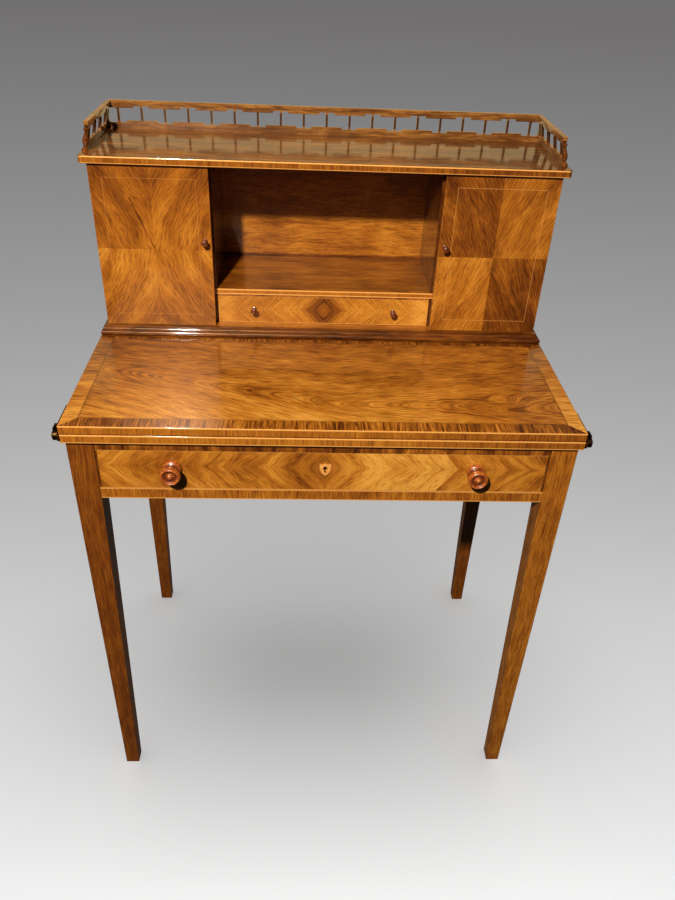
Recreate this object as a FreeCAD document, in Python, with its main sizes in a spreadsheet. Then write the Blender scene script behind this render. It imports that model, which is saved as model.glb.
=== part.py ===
"""Bonheur du jour: a small writing desk with a fold-over top, a frieze drawer and a two-door cabinet.

Millimetres, +Z up, front towards -Y, origin on the floor under the middle of the whole desk.
Left and right are those of a person who stands in front of the desk: left is -X.
"""
import FreeCAD, Part
import math
import os
from types import SimpleNamespace

import Sketcher
from FreeCAD import Placement, Rotation, Vector

DIMENSIONS = {
    # Writing top and fold-over leaf
    "top_width": 712, "writing_height": 738, "top_thick": 13.5, "leaf_thick": 13.5,
    "leaf_depth": 266.5, "fold_gap": 0.3, "arris": 0.8,
    "front_overhang": 7, "side_overhang": 4.5, "back_overhang": 3,
    "leather_margin": 46, "leather_thick": 1.1, "leather_recess": 1.2,
    # Legs and rails
    "frame_depth": 446, "leg_square": 36.5, "leg_foot": 23, "leg_round": 1,
    "rail_height": 97, "rail_thick": 19, "front_rail_height": 17.5, "front_rail_depth": 30,
    "tenon_length": 14, "tenon_thick": 8, "tenon_shoulder": 5,
    "runner_width": 18, "guide_rise": 38, "stop_width": 30, "stop_thick": 4, "stop_spread": 320,
    # Frieze drawer
    "drawer_side_gap": 1.2, "drawer_top_gap": 1, "run_gap": 0.3, "drawer_back_gap": 8,
    "drawer_front_thick": 19, "drawer_side_thick": 9, "drawer_bottom_thick": 6,
    "drawer_bottom_lift": 7, "groove_depth": 4, "dovetail_lap": 7,
    "knob_reach": 26, "knob_radius": 14.2, "knob_inset": 101.8, "knob_drop": 3,
    "knob_tenon_radius": 5, "knob_tenon": 14,
    # Lock
    "shield_width": 15.8, "shield_height": 20.8, "shield_thick": 2.5, "shield_proud": 0.3,
    "key_radius": 3.1, "key_slot": 3, "key_drop": 7,
    "lock_width": 52, "lock_height": 50, "lock_depth": 11, "lock_plate_thick": 2, "lock_plate_depth": 15,
    "bolt_width": 20, "bolt_thick": 5, "bolt_height": 20, "bolt_throw": 7, "bolt_gap": 0.3, "bolt_mortise": 9,
    # Card-table hinges of the leaf
    "strap_length": 60, "strap_thick": 3, "strap_height": 8.6, "strap_lift": 1.6, "strap_eye": 7,
    "strap_gap": 0.3, "arm_start": 9, "arm_crank": 4, "strap_pin": 2.4, "strap_head": 4.2,
    "strap_head_thick": 1.2, "pin_gap": 0.05,
    # Wood screws
    "screw_head": 2.4, "screw_shank": 1.2, "screw_sink": 1.2, "screw_length": 12,
    # Cabinet
    "cabinet_inset": 10.5, "leaf_back_gap": 1.3, "base_projection": 14, "side_base_projection": 10,
    "plinth_height": 15, "plinth_thick": 18, "case_bottom_thick": 13, "case_height": 250.5,
    "case_thick": 12, "partition_thick": 10, "recess_width": 342, "case_back_thick": 6,
    "shelf_level": 57.5, "shelf_thick": 9, "shelf_housing": 3,
    "top_board_thick": 11, "top_board_overhang": 6.5, "top_board_corner": 7, "top_board_arris": 1.6,
    "bead_radius": 4, "base_flat": 14.2, "base_quirk": 1, "base_fillet": 2,
    # Doors, knobs, hinges and catches
    "door_thick": 16, "door_gap": 0.5, "door_play": 0.8, "door_lap": 7.5,
    "small_knob_reach": 14.5, "small_knob_radius": 5.3, "small_tenon_radius": 2.2, "small_tenon": 9,
    "door_knob_inset": 9.5, "door_knob_rise": 15,
    "hinge_height": 42, "hinge_inset": 40, "hinge_leaf": 13, "hinge_leaf_thick": 1.4,
    "hinge_out": 1.2, "knuckle_radius": 2.6, "hinge_pin": 1,
    "catch_radius": 3.2, "catch_length": 11, "catch_dome": 0.2, "catch_drop": 40,
    # Small drawer in the recess
    "small_side_gap": 0.8, "small_front_thick": 12, "small_side_thick": 6, "small_bottom_thick": 4,
    "small_bottom_lift": 5, "small_groove": 3, "small_lap": 5, "small_back_gap": 3, "small_knob_inset": 57.7,
    # Gallery
    "gallery_height": 41.5, "gallery_inset": 4, "gallery_lean": 8, "fret_thick": 4.5, "fret_setback": 2.5,
    "fret_root": 2, "cap_height": 5, "cap_depth": 6, "fret_foot_rail": 8.5, "fret_head_rail": 3,
    "fret_step": 3.2, "fret_bar": 3.4, "fret_end": 16, "fret_stile": 4, "fret_corner": 3,
    "post_radius": 4.6, "post_setback": 27,
}

# Shares of the sizes that they follow
half_share = 0.5
third_share = 1 / 3
dovetail_root_share = 0.26
dovetail_tip_share = 0.35
screw_shares = (0.42, 0.82)
hinge_screw_shares = (-0.3, 0.3)
fret_step_share = 0.67
key_rise_share = 0.1
shield_top_shares = ((0.5, 0.5), (0.3, 0.42), (0.0, 0.5), (-0.3, 0.42), (-0.5, 0.5))
shield_side_share = 0.16
# Turned profiles: (share of the radius, share of the reach) from the face of the wood outwards
knob_shares = (
    (0.84, 0.0), (0.9, 0.04), (0.92, 0.11), (0.9, 0.19), (0.8, 0.25), (0.68, 0.3), (0.62, 0.38), (0.64, 0.47),
    (0.76, 0.55), (0.92, 0.62), (1.0, 0.7), (1.0, 0.78), (0.97, 0.86), (0.9, 0.93), (0.82, 0.95), (0.75, 0.92),
    (0.69, 0.85), (0.58, 0.82), (0.44, 0.82), (0.33, 0.83), (0.27, 0.87), (0.22, 0.94), (0.12, 0.985), (0.0, 1.0),
)
small_knob_shares = (
    (0.72, 0.0), (0.72, 0.1), (0.5, 0.17), (0.42, 0.32), (0.48, 0.44), (0.78, 0.53), (0.96, 0.64),
    (1.0, 0.74), (0.93, 0.86), (0.74, 0.94), (0.44, 0.985), (0.0, 1.0),
)
post_shares = (
    (1.0, 0.0), (1.0, 0.07), (0.8, 0.1), (0.52, 0.14), (0.52, 0.2), (0.8, 0.26), (0.94, 0.36), (0.86, 0.48),
    (0.6, 0.6), (0.48, 0.7), (0.5, 0.75), (0.8, 0.78), (0.8, 0.84), (0.55, 0.87), (0.62, 0.94),
    (0.82, 1.0), (0.0, 1.0),
)

# Counts
dovetails = 3
small_dovetails = 2
back_bars = 19
side_bars = 4

doc = FreeCAD.newDocument("bonheur_du_jour")
sheet = doc.addObject("Spreadsheet::Sheet", "sizes")
pieces = []


class Size:
    """A length known both as a number and as a formula of the sheet's cells."""

    def __init__(self, number, formula):
        self.number = number
        self.formula = formula

    def __add__(self, other):
        other = sized(other)
        return Size(self.number + other.number, f"({self.formula} + {other.formula})")

    def __sub__(self, other):
        other = sized(other)
        return Size(self.number - other.number, f"({self.formula} - {other.formula})")

    def __mul__(self, other):
        other = sized(other)
        return Size(self.number * other.number, f"({self.formula} * {other.formula})")

    def __truediv__(self, other):
        other = sized(other)
        return Size(self.number / other.number, f"({self.formula} / {other.formula})")

    def __radd__(self, other):
        return sized(other) + self

    def __rsub__(self, other):
        return sized(other) - self

    def __rmul__(self, other):
        return sized(other) * self

    def __neg__(self):
        return Size(-self.number, f"(0 - {self.formula})")


def sized(value):
    """The value as a Size, where a plain number stands for itself."""
    return value if isinstance(value, Size) else Size(value, f"({value!r})")


def hypotenuse(rise, run):
    """The long side over a rise and a run."""
    return Size(math.hypot(rise.number, run.number), f"sqrt({rise.formula}^2 + {run.formula}^2)")


def slope_angle(run, rise):
    """The angle from upright, in degrees, of a line that goes over by run in its rise."""
    return Size(math.degrees(math.atan2(run.number, rise.number)), f"atan({run.formula} / {rise.formula})")


def span(first, second):
    """Two sizes as (low, high)."""
    first, second = sized(first), sized(second)
    return (first, second) if first.number < second.number else (second, first)


def write_sheet():
    """Put every driving dimension in the sheet under its own name and return them as Sizes."""
    for row, (name, number) in enumerate(DIMENSIONS.items(), start=1):
        sheet.set(f"A{row}", name)
        sheet.set(f"B{row}", str(number))
        sheet.setAlias(f"B{row}", name)
    doc.recompute()
    return SimpleNamespace(**{name: Size(float(sheet.get(name)), f"sizes.{name}") for name in DIMENSIONS})


def bind(thing, name, size):
    """Tie one property of an object to a formula of the sheet."""
    thing.setExpression(name, sized(size).formula)


def place(thing, x, y, z, axis=None, angle=None):
    """Set an object down at x, y, z, turned about an axis where one is given."""
    if axis:
        thing.Placement = Placement(Vector(), Rotation(Vector(*axis), sized(angle).number))
        bind(thing, "Placement.Rotation.Angle", angle)
    for letter, size in zip("xyz", (x, y, z)):
        bind(thing, f"Placement.Base.{letter}", size)
    return thing


def piece(label, thing):
    """Name a finished sub-part and keep it for writing."""
    thing.Label = label
    pieces.append(thing)
    return thing


def board(x, y, z):
    """A plain rectangular board between (low, high) limits on each axis."""
    block = doc.addObject("Part::Box", "board")
    for name, (low, high) in zip(("Length", "Width", "Height"), (x, y, z)):
        bind(block, name, sized(high) - low)
    return place(block, x[0], y[0], z[0])


def rod(radius, length, start, axis):
    """A cylinder that runs from start along x, y or z."""
    bar = doc.addObject("Part::Cylinder", "rod")
    bind(bar, "Radius", radius)
    bind(bar, "Height", length)
    return turned_to(bar, start, axis)


def taper(radius, end_radius, length, start, axis):
    """A cone that runs from start along x, y or z."""
    cone = doc.addObject("Part::Cone", "taper")
    bind(cone, "Radius1", radius)
    bind(cone, "Radius2", end_radius)
    bind(cone, "Height", length)
    return turned_to(cone, start, axis)


def turned_to(thing, start, axis):
    """Turn an object made along +Z to a signed axis such as '-y' and set it down at start."""
    turns = {"+x": ((0, 1, 0), 90), "-x": ((0, 1, 0), -90), "+y": ((1, 0, 0), -90), "-y": ((1, 0, 0), 90)}
    return place(thing, *start) if axis == "+z" else place(thing, *start, *turns[axis])


def cut(base, *tools):
    """The base with every tool taken out of it."""
    for tool in tools:
        result = doc.addObject("Part::Cut", "cut")
        result.Base = base
        result.Tool = tool
        base = result
    return base


def fuse(*shapes):
    """Overlapping shapes as one solid."""
    result = doc.addObject("Part::MultiFuse", "fusion")
    result.Shapes = list(shapes)
    return result


def group(*shapes):
    """Separate solids that share one node."""
    result = doc.addObject("Part::Compound", "group")
    result.Links = list(shapes)
    return result


def arc_to(u, v, centre, turn):
    """A step of an outline: a round to u, v about a centre, counter-clockwise where turn is 1."""
    return SimpleNamespace(end=(sized(u), sized(v)), centre=(sized(centre[0]), sized(centre[1])), turn=turn)


def end_of(step):
    """The point where a step of an outline ends."""
    return step.end if isinstance(step, SimpleNamespace) else (sized(step[0]), sized(step[1]))


def flat(point):
    """A pair of sizes as a vector in the sketch."""
    return Vector(point[0].number, point[1].number, 0)


def fix(sketch, curve, corner, point, letters="XY"):
    """Hold one corner of a curve at the given sizes from the sketch's origin."""
    for letter, size in zip("XY", point):
        if letter in letters:
            constraint = Sketcher.Constraint(f"Distance{letter}", -1, 1, curve, corner, size.number)
            bind(sketch, f"Constraints[{sketch.addConstraint(constraint)}]", size)


def add_side(sketch, start, step):
    """Draw one side of an outline and return its number and its (start, end) corner numbers."""
    end = end_of(step)
    if not isinstance(step, SimpleNamespace):
        return sketch.addGeometry(Part.LineSegment(flat(start), flat(end))), (1, 2)
    first, last = (start, end) if step.turn > 0 else (end, start)
    centre = flat(step.centre)
    angles = [math.atan2(*(flat(point) - centre)[1::-1]) for point in (first, last)]
    if angles[1] <= angles[0]:
        angles[1] += math.tau
    circle = Part.Circle(centre, Vector(0, 0, 1), (flat(first) - centre).Length)
    curve = sketch.addGeometry(Part.ArcOfCircle(circle, *angles))
    return curve, ((1, 2) if step.turn > 0 else (2, 1))


def draw_loop(sketch, steps):
    """Draw a closed outline whose corners, and the middles of its rounds, are tied to the sheet."""
    starts = [end_of(step) for step in steps[-1:] + steps[:-1]]
    sides = [add_side(sketch, start, step) for start, step in zip(starts, steps)]
    for (curve, ends), (following, next_ends) in zip(sides, sides[1:] + sides[:1]):
        sketch.addConstraint(Sketcher.Constraint("Coincident", curve, ends[1], following, next_ends[0]))
    for (curve, ends), start, step in zip(sides, starts, steps):
        fix(sketch, curve, ends[1], end_of(step))
        if isinstance(step, SimpleNamespace):
            chord = flat(end_of(step)) - flat(start)
            fix(sketch, curve, 3, step.centre, "X" if abs(chord.y) > abs(chord.x) else "Y")


def sketch_on(body, role, loops, lift=0):
    """A sketch of closed outlines on one of the body's own planes, lifted along that plane's normal."""
    plane = next(feature for feature in body.Origin.OriginFeatures if feature.Role == role)
    sketch = body.newObject("Sketcher::SketchObject", "outline")
    sketch.AttachmentSupport = [(plane, "")]
    sketch.MapMode = "FlatFace"
    bind(sketch, "AttachmentOffset.Base.z", lift)
    for loop in loops:
        draw_loop(sketch, list(loop))
    return sketch


def new_body(label):
    return doc.addObject("PartDesign::Body", label)


def pad(body, role, loops, length, lift=0, middle=False, back=False):
    """Draw outlines on a plane of the body and pad them."""
    feature = body.newObject("PartDesign::Pad", "pad")
    feature.Profile = sketch_on(body, role, loops, lift)
    bind(feature, "Length", length)
    feature.Midplane = middle
    feature.Reversed = back
    return feature


def pocket(body, role, loops):
    """Draw outlines on a plane of the body and cut them right through, both ways."""
    feature = body.newObject("PartDesign::Pocket", "pocket")
    feature.Profile = sketch_on(body, role, loops)
    feature.Type = "ThroughAll"
    feature.Midplane = True
    return feature


def repeat(body, feature, axis, step, count):
    """Repeat a feature of the body along one of its own axes."""
    if count < 2:
        return
    pattern = body.newObject("PartDesign::LinearPattern", "pattern")
    pattern.Originals = [feature]
    direction = next(line for line in body.Origin.OriginFeatures if line.Role == axis)
    pattern.Direction = (direction, [""])
    bind(pattern, "Length", step * (count - 1))
    pattern.Occurrences = count
    body.Tip = pattern


def revolve(role, steps):
    """A turned body: its outline on a plane, turned about that sketch's upright axis."""
    body = new_body("turning")
    feature = body.newObject("PartDesign::Revolution", "turned")
    sketch = sketch_on(body, role, [steps])
    feature.Profile = sketch
    feature.ReferenceAxis = (sketch, ["V_Axis"])
    feature.Angle = 360
    return body


def rectangle(x, y):
    return [(x[0], y[0]), (x[1], y[0]), (x[1], y[1]), (x[0], y[1])]


def rounded_rectangle(x, y, radius):
    """A rectangle whose four corners are quarter rounds."""
    (left, right), (near, far) = x, y
    return [
        (right - radius, near), arc_to(right, near + radius, (right - radius, near + radius), 1),
        (right, far - radius), arc_to(right - radius, far, (right - radius, far - radius), 1),
        (left + radius, far), arc_to(left, far - radius, (left + radius, far - radius), 1),
        (left, near + radius), arc_to(left + radius, near, (left + radius, near + radius), 1),
    ]


def ease(body, feature, radius):
    """Round every edge of a body a little."""
    rounding = body.newObject("PartDesign::Fillet", "eased")
    doc.recompute()
    rounding.Base = (feature, ["Edge1"])
    rounding.UseAllEdges = True
    bind(rounding, "Radius", radius)


def eased_board(x, y, z, radius):
    """A board whose edges are all taken off a little."""
    body = new_body("eased_board")
    ease(body, pad(body, "XY_Plane", [rectangle(x, y)], z[1] - z[0], z[0]), radius)
    return body


def screw(start, axis):
    """A countersunk wood screw: its head is flush at start and its shank runs along the axis."""
    head = taper(d.screw_head, d.screw_shank, d.screw_sink, start, axis)
    return fuse(head, rod(d.screw_shank, d.screw_length, start, axis))


d = write_sheet()
left, right = -1, 1

# Planes and edges that several pieces share
top_half = d.top_width / 2
frame_half = top_half - d.side_overhang
leg_inner = frame_half - d.leg_square
whole_depth = d.knob_reach + d.frame_depth + d.back_overhang
legs_front = d.knob_reach - whole_depth / 2
legs_back = legs_front + d.frame_depth
top_front = legs_front - d.front_overhang
top_back = legs_back + d.back_overhang
top_under = d.writing_height - d.top_thick
rails_low = top_under - d.rail_height
rail_top = rails_low + d.front_rail_height
leaf_low = d.writing_height + d.fold_gap
leaf_back = top_front + d.leaf_depth
fold_y = top_front - d.fold_gap / 2
fold_z = d.writing_height + d.fold_gap / 2
cabinet_half = top_half - d.cabinet_inset
door_front = leaf_back + d.leaf_back_gap + d.base_projection
door_back = door_front + d.door_thick
case_front = door_back + d.door_gap
case_back = legs_back - d.case_back_thick
case_floor = d.writing_height + d.plinth_height + d.case_bottom_thick
case_ceiling = case_floor + d.case_height
board_top = case_ceiling + d.top_board_thick
recess_half = d.recess_width / 2
shelf_top = case_floor + d.shelf_level
shelf_under = shelf_top - d.shelf_thick
drawer_half = leg_inner - d.drawer_side_gap
drawer_low = rail_top + d.run_gap
drawer_high = top_under - d.drawer_top_gap
drawer_inner = legs_front + d.drawer_front_thick
knob_level = (drawer_low + drawer_high) / 2 - d.knob_drop


# Stand

def tenons(x, y, z, along):
    """The bar that makes a rail's two tenons: thinner than the rail and longer at both ends."""
    limits = [x, y, z]
    for axis, (low, high) in enumerate(limits[:2]):
        shrink = (high - low - d.tenon_thick) / 2
        grow = d.tenon_length if axis == along else -shrink
        limits[axis] = (low - grow, high + grow)
    limits[2] = (z[0] + d.tenon_shoulder, z[1] - d.tenon_shoulder)
    return board(*limits)


def rails():
    """The side, back and front rails; returns their tenons for the mortises in the legs."""
    between_legs = (legs_front + d.leg_square, legs_back - d.leg_square)
    upright = (rails_low, top_under)
    bars = []
    for side, name in ((left, "left"), (right, "right")):
        limits = (span(side * frame_half, side * (frame_half - d.rail_thick)), between_legs, upright)
        bars.append(tenons(*limits, 1))
        piece(f"side_rail_{name}", fuse(board(*limits), bars[-1]))
    across = (-leg_inner, leg_inner)
    back = (across, (legs_back - d.rail_thick, legs_back), upright)
    front = (across, (legs_front, legs_front + d.front_rail_depth), (rails_low, rail_top))
    for name, limits in (("back_rail", back), ("front_rail", front)):
        bars.append(tenons(*limits, 0))
        piece(name, fuse(board(*limits), bars[-1]))
    return bars


def leg(label, side, face, inward, mortises):
    """A square leg that tapers on its two inner faces from the rails down to the foot."""
    body = new_body("leg_stock")

    def section(width):
        x = span(side * frame_half, side * (frame_half - width))
        return [rounded_rectangle(x, span(face, face + inward * width), d.leg_round)]

    loft = body.newObject("PartDesign::AdditiveLoft", "taper")
    loft.Profile = sketch_on(body, "XY_Plane", section(d.leg_foot))
    loft.Sections = [sketch_on(body, "XY_Plane", section(d.leg_square), rails_low)]
    loft.Ruled = True
    pad(body, "XY_Plane", section(d.leg_square), top_under - rails_low, rails_low)
    piece(label, cut(body, *mortises))


def legs(bars):
    """Four legs, each with the mortises of the rails that it holds."""
    side_bars_of = {left: bars[0], right: bars[1]}
    for side, name in ((left, "left"), (right, "right")):
        leg(f"leg_front_{name}", side, legs_front, 1, (side_bars_of[side], bars[3]))
        leg(f"leg_rear_{name}", side, legs_back, -1, (side_bars_of[side], bars[2]))


def runners():
    """The runners and guides that carry the frieze drawer, and the stops that it closes against."""
    lengths = (legs_front + d.front_rail_depth, legs_back - d.rail_thick)
    between_legs = (legs_front + d.leg_square, legs_back - d.leg_square)
    rails_of = []
    stops = []
    for side in (left, right):
        shelf = span(side * leg_inner, side * (leg_inner - d.runner_width))
        wall = span(side * leg_inner, side * (frame_half - d.rail_thick))
        runner = board(shelf, lengths, (rails_low, rail_top))
        guide = board(wall, between_legs, (rails_low, rail_top + d.guide_rise))
        rails_of.append(fuse(runner, guide))
        middle = side * d.stop_spread / 2
        stop_x = (middle - d.stop_width / 2, middle + d.stop_width / 2)
        stop_y = (drawer_inner + d.run_gap, legs_front + d.front_rail_depth)
        stops.append(board(stop_x, stop_y, (rail_top, rail_top + d.stop_thick)))
    piece("drawer_runners", group(*rails_of))
    piece("drawer_stops", group(*stops))


# Writing top, leaf and card-table hinges

def leather(surface, into):
    """The leather's bed from a board's face into it by the recess, and the leather on that bed."""
    x = (d.leather_margin - top_half, top_half - d.leather_margin)
    y = (top_front + d.leather_margin, leaf_back - d.leather_margin)
    floor = surface + into * d.leather_recess
    return board(x, y, span(surface, floor)), board(x, y, span(floor, floor - into * d.leather_thick))


def strap_screws(side, level):
    """The screws of one hinge strap, driven into the edge of its board."""
    face = side * (top_half + d.strap_thick)
    axis = "+x" if side == left else "-x"
    return [screw((face, fold_y + d.strap_length * share, level), axis) for share in screw_shares]


def hinge_layers(side):
    """The two layers of a card-table hinge beside the boards: inner strap and outer arm."""
    inner = span(side * top_half, side * (top_half + d.strap_thick))
    outer_start = top_half + d.strap_thick + d.strap_gap
    return inner, span(side * outer_start, side * (outer_start + d.strap_thick))


def strap_pin(side):
    """The riveted pin of one card-table hinge."""
    axis = "-x" if side == left else "+x"
    shaft = 2 * d.strap_thick + 2 * d.strap_gap
    pin = rod(d.strap_pin, shaft + d.strap_head_thick, (side * top_half, fold_y, fold_z), axis)
    head = rod(d.strap_head, d.strap_head_thick, (side * (top_half + shaft), fold_y, fold_z), axis)
    return fuse(pin, head)


def eye(layer, radius):
    """A round eye about the fold axis, as thick as its layer."""
    return rod(radius, layer[1] - layer[0], (layer[0], fold_y, fold_z), "+x")


def fixed_strap(side, pin, screws):
    """The half of a card-table hinge on the fixed top."""
    inner = hinge_layers(side)[0]
    low = fold_z - d.strap_lift - d.strap_height
    bar = board(inner, (fold_y, fold_y + d.strap_length), (low, fold_z - d.strap_lift))
    return cut(fuse(bar, eye(inner, d.strap_eye)), pin, *screws)


def moving_arm(side, screws):
    """The half of a card-table hinge on the leaf: cranked outwards so that its eye passes the other."""
    inner, outer = hinge_layers(side)
    high = (fold_z + d.strap_lift, fold_z + d.strap_lift + d.strap_height)
    crank = fold_y + d.arm_start + d.arm_crank
    bar = board(inner, (fold_y + d.arm_start, fold_y + d.strap_length), high)
    both = span(side * top_half, side * (top_half + 2 * d.strap_thick + d.strap_gap))
    joggle = board(both, (fold_y + d.arm_start, crank), high)
    cheek = board(outer, (fold_y, crank), high)
    arm = fuse(bar, joggle, cheek, eye(outer, d.strap_eye))
    return cut(arm, eye(outer, d.strap_pin + d.pin_gap), *screws)


def writing_top():
    """The fixed top, the fold-over leaf on it, their leathers and the two card-table hinges."""
    drop = d.strap_lift + d.strap_height / 2
    fixed_screws = {side: strap_screws(side, fold_z - drop) for side in (left, right)}
    moving_screws = {side: strap_screws(side, fold_z + drop) for side in (left, right)}
    pins = {side: strap_pin(side) for side in (left, right)}
    across = (-top_half, top_half)
    bed, hide = leather(d.writing_height, -1)
    leaf_bed, leaf_hide = leather(leaf_low, 1)
    top = eased_board(across, (top_front, top_back), (top_under, d.writing_height), d.arris)
    leaf = eased_board(across, (top_front, leaf_back), (leaf_low, leaf_low + d.leaf_thick), d.arris)
    all_fixed = fixed_screws[left] + fixed_screws[right]
    all_moving = moving_screws[left] + moving_screws[right]
    piece("table_top", cut(top, bed, bolt_mortise(), *all_fixed))
    piece("fold_leaf", cut(leaf, leaf_bed, *all_moving))
    piece("fixed_leather", hide)
    piece("leaf_leather", leaf_hide)
    piece("leaf_hinge_straps", group(*[fixed_strap(side, pins[side], fixed_screws[side]) for side in pins]))
    piece("leaf_hinge_arms", group(*[moving_arm(side, moving_screws[side]) for side in pins]))
    piece("leaf_hinge_pins", group(*pins.values()))
    piece("leaf_hinge_screws_fixed", group(*all_fixed))
    piece("leaf_hinge_screws_moving", group(*all_moving))


# Lock of the frieze drawer

lock_middle = drawer_inner - d.lock_depth / 2
bolt_y = (lock_middle - d.bolt_thick / 2, lock_middle + d.bolt_thick / 2)
key_level = knob_level + d.shield_height * key_rise_share


def bolt_mortise():
    """The hole in the underside of the top that takes the bolt."""
    x = (-d.bolt_width / 2 - d.drawer_top_gap, d.bolt_width / 2 + d.drawer_top_gap)
    y = (bolt_y[0] - d.drawer_top_gap, bolt_y[1] + d.drawer_top_gap)
    return board(x, y, (top_under, top_under + d.bolt_mortise))


def lock():
    """The lock case with its top plate, and the bolt in it; returns what the drawer front makes room for."""
    case_x = (-d.lock_width / 2, d.lock_width / 2)
    case_y = (drawer_inner - d.lock_depth, drawer_inner)
    case = board(case_x, case_y, (drawer_high - d.lock_height, drawer_high))
    plate_y = (drawer_inner - d.lock_plate_depth, drawer_inner)
    plate = board(case_x, plate_y, (drawer_high - d.lock_plate_thick, drawer_high))
    room = fuse(case, plate)
    x = (-d.bolt_width / 2, d.bolt_width / 2)
    top = drawer_high - d.bolt_gap
    piece("lock_bolt", board(x, bolt_y, (top - d.bolt_height, top)))
    channel = board(
        (x[0] - d.bolt_gap, x[1] + d.bolt_gap),
        (bolt_y[0] - d.bolt_gap, bolt_y[1] + d.bolt_gap),
        (top - d.bolt_height - d.bolt_gap, drawer_high),
    )
    piece("lock_case", cut(room, channel, keyhole(drawer_inner - d.lock_depth / 2)))
    return room


def keyhole(depth):
    """A keyhole, round above and slotted below, from in front of the shield back to a depth."""
    start = legs_front - d.shield_proud
    bow = rod(d.key_radius, depth - start, (0, start, key_level), "+y")
    slot = board((-d.key_slot / 2, d.key_slot / 2), (start, depth), (key_level - d.key_drop, key_level))
    return fuse(bow, slot)


def shield():
    """The shield escutcheon without its keyhole: cusped top and two rounds that meet in a point below."""
    half = d.shield_width / 2
    shoulder = d.shield_height * shield_side_share
    drop = shoulder + d.shield_height / 2
    radius = (half * half + drop * drop) / d.shield_width
    steps = [(d.shield_width * across, d.shield_height * up) for across, up in shield_top_shares]
    steps.append((-half, shoulder))
    steps.append(arc_to(0, -d.shield_height / 2, (radius - half, shoulder), 1))
    steps.append(arc_to(half, shoulder, (half - radius, shoulder), 1))
    body = new_body("shield")
    pad(body, "XZ_Plane", [steps], d.shield_thick, back=True)
    return place(body, 0, legs_front - d.shield_proud, knob_level)


# Drawers

def turned_profile(shares, radius, reach, tenon_radius, tenon):
    """A knob's half outline on the XY plane: its tenon runs back along +Y and its face looks along -Y."""
    steps = [(0, tenon), (tenon_radius, tenon), (tenon_radius, 0)]
    return steps + [(radius * out, -reach * along) for out, along in shares]


def big_knob(x):
    outline = turned_profile(knob_shares, d.knob_radius, d.knob_reach, d.knob_tenon_radius, d.knob_tenon)
    return place(revolve("XY_Plane", outline), x, legs_front, knob_level)


def small_knob(x, y, z):
    sizes = (d.small_knob_radius, d.small_knob_reach, d.small_tenon_radius, d.small_tenon)
    return place(revolve("XY_Plane", turned_profile(small_knob_shares, *sizes)), x, y, z)


def tails(y_root, y_tip, low, high, count):
    """The corners of a row of dovetails on the end of a drawer side, from the bottom up."""
    pitch = (high - low) / count
    corners = []
    for number in range(count):
        middle = low + pitch * (number + half_share)
        root, tip = pitch * dovetail_root_share, pitch * dovetail_tip_share
        corners += [(y_root, middle - root), (y_tip, middle - tip)]
        corners += [(y_tip, middle + tip), (y_root, middle + root)]
    return corners


def drawer_box(name, half, front, back, z, stuff, count):
    """A dovetailed drawer; returns its front still without knobs and its fittings."""
    low, high = z
    inner, lap = front + stuff.front_thick, front + stuff.lap
    back_face = back - stuff.side_thick
    outline = [(inner, low), (back_face, low)]
    outline += tails(back_face, back, low, high, count)
    outline += [(back_face, high), (inner, high)]
    outline += tails(inner, lap, low, high, count)[::-1]
    floor_z = (low + stuff.lift, low + stuff.lift + stuff.bottom_thick)
    reach = half - stuff.side_thick + stuff.groove
    floor = board((-reach, reach), (inner - stuff.groove, back_face + stuff.groove), floor_z)
    walls = []
    for side in (left, right):
        body = new_body("drawer_side")
        pad(body, "YZ_Plane", [outline], stuff.side_thick)
        walls.append(place(body, span(side * half, side * (half - stuff.side_thick))[0], 0, 0))
    piece(f"{name}_sides", group(*[cut(wall, floor) for wall in walls]))
    piece(f"{name}_back", cut(board((-half, half), (back_face, back), z), floor, *walls))
    piece(f"{name}_bottom", floor)
    return cut(eased_board((-half, half), (front, inner), z, d.arris / 2), floor, *walls)


def frieze_drawer():
    """The drawer under the writing top with its knobs, shield and lock."""
    stuff = SimpleNamespace(
        front_thick=d.drawer_front_thick, side_thick=d.drawer_side_thick, lap=d.dovetail_lap,
        lift=d.drawer_bottom_lift, bottom_thick=d.drawer_bottom_thick, groove=d.groove_depth,
    )
    back = legs_back - d.rail_thick - d.drawer_back_gap
    front = drawer_box("drawer", drawer_half, legs_front, back, (drawer_low, drawer_high), stuff, dovetails)
    knobs = [big_knob(side * (drawer_half - d.knob_inset)) for side in (left, right)]
    plate = shield()
    room = lock()
    piece("drawer_front", cut(front, *knobs, plate, room, keyhole(drawer_inner)))
    piece("escutcheon", cut(plate, keyhole(drawer_inner)))
    piece("drawer_knobs", group(*knobs))


def small_drawer():
    """The shallow drawer under the shelf of the recess."""
    stuff = SimpleNamespace(
        front_thick=d.small_front_thick, side_thick=d.small_side_thick, lap=d.small_lap,
        lift=d.small_bottom_lift, bottom_thick=d.small_bottom_thick, groove=d.small_groove,
    )
    half = recess_half - d.small_side_gap
    z = (case_floor + d.run_gap, shelf_under - d.small_side_gap)
    back = case_back - d.small_back_gap
    front = drawer_box("small_drawer", half, case_front, back, z, stuff, small_dovetails)
    level = (z[0] + z[1]) / 2
    knobs = [small_knob(side * (half - d.small_knob_inset), case_front, level) for side in (left, right)]
    piece("small_drawer_front", cut(front, *knobs))
    piece("small_drawer_knobs", group(*knobs))


# Cabinet

def plinth():
    """The low frame under the cabinet, hidden behind the base moulding."""
    across = (-cabinet_half, cabinet_half)
    z = (d.writing_height, d.writing_height + d.plinth_height)
    front_y = (door_front, door_front + d.plinth_thick)
    back_y = (legs_back - d.plinth_thick, legs_back)
    bars = [board(across, y, z) for y in (front_y, back_y)]
    for side in (left, right):
        x = span(side * cabinet_half, side * (cabinet_half - d.plinth_thick))
        bars.append(board(x, (front_y[1], back_y[0]), z))
    piece("plinth_frame", group(*bars))


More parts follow.
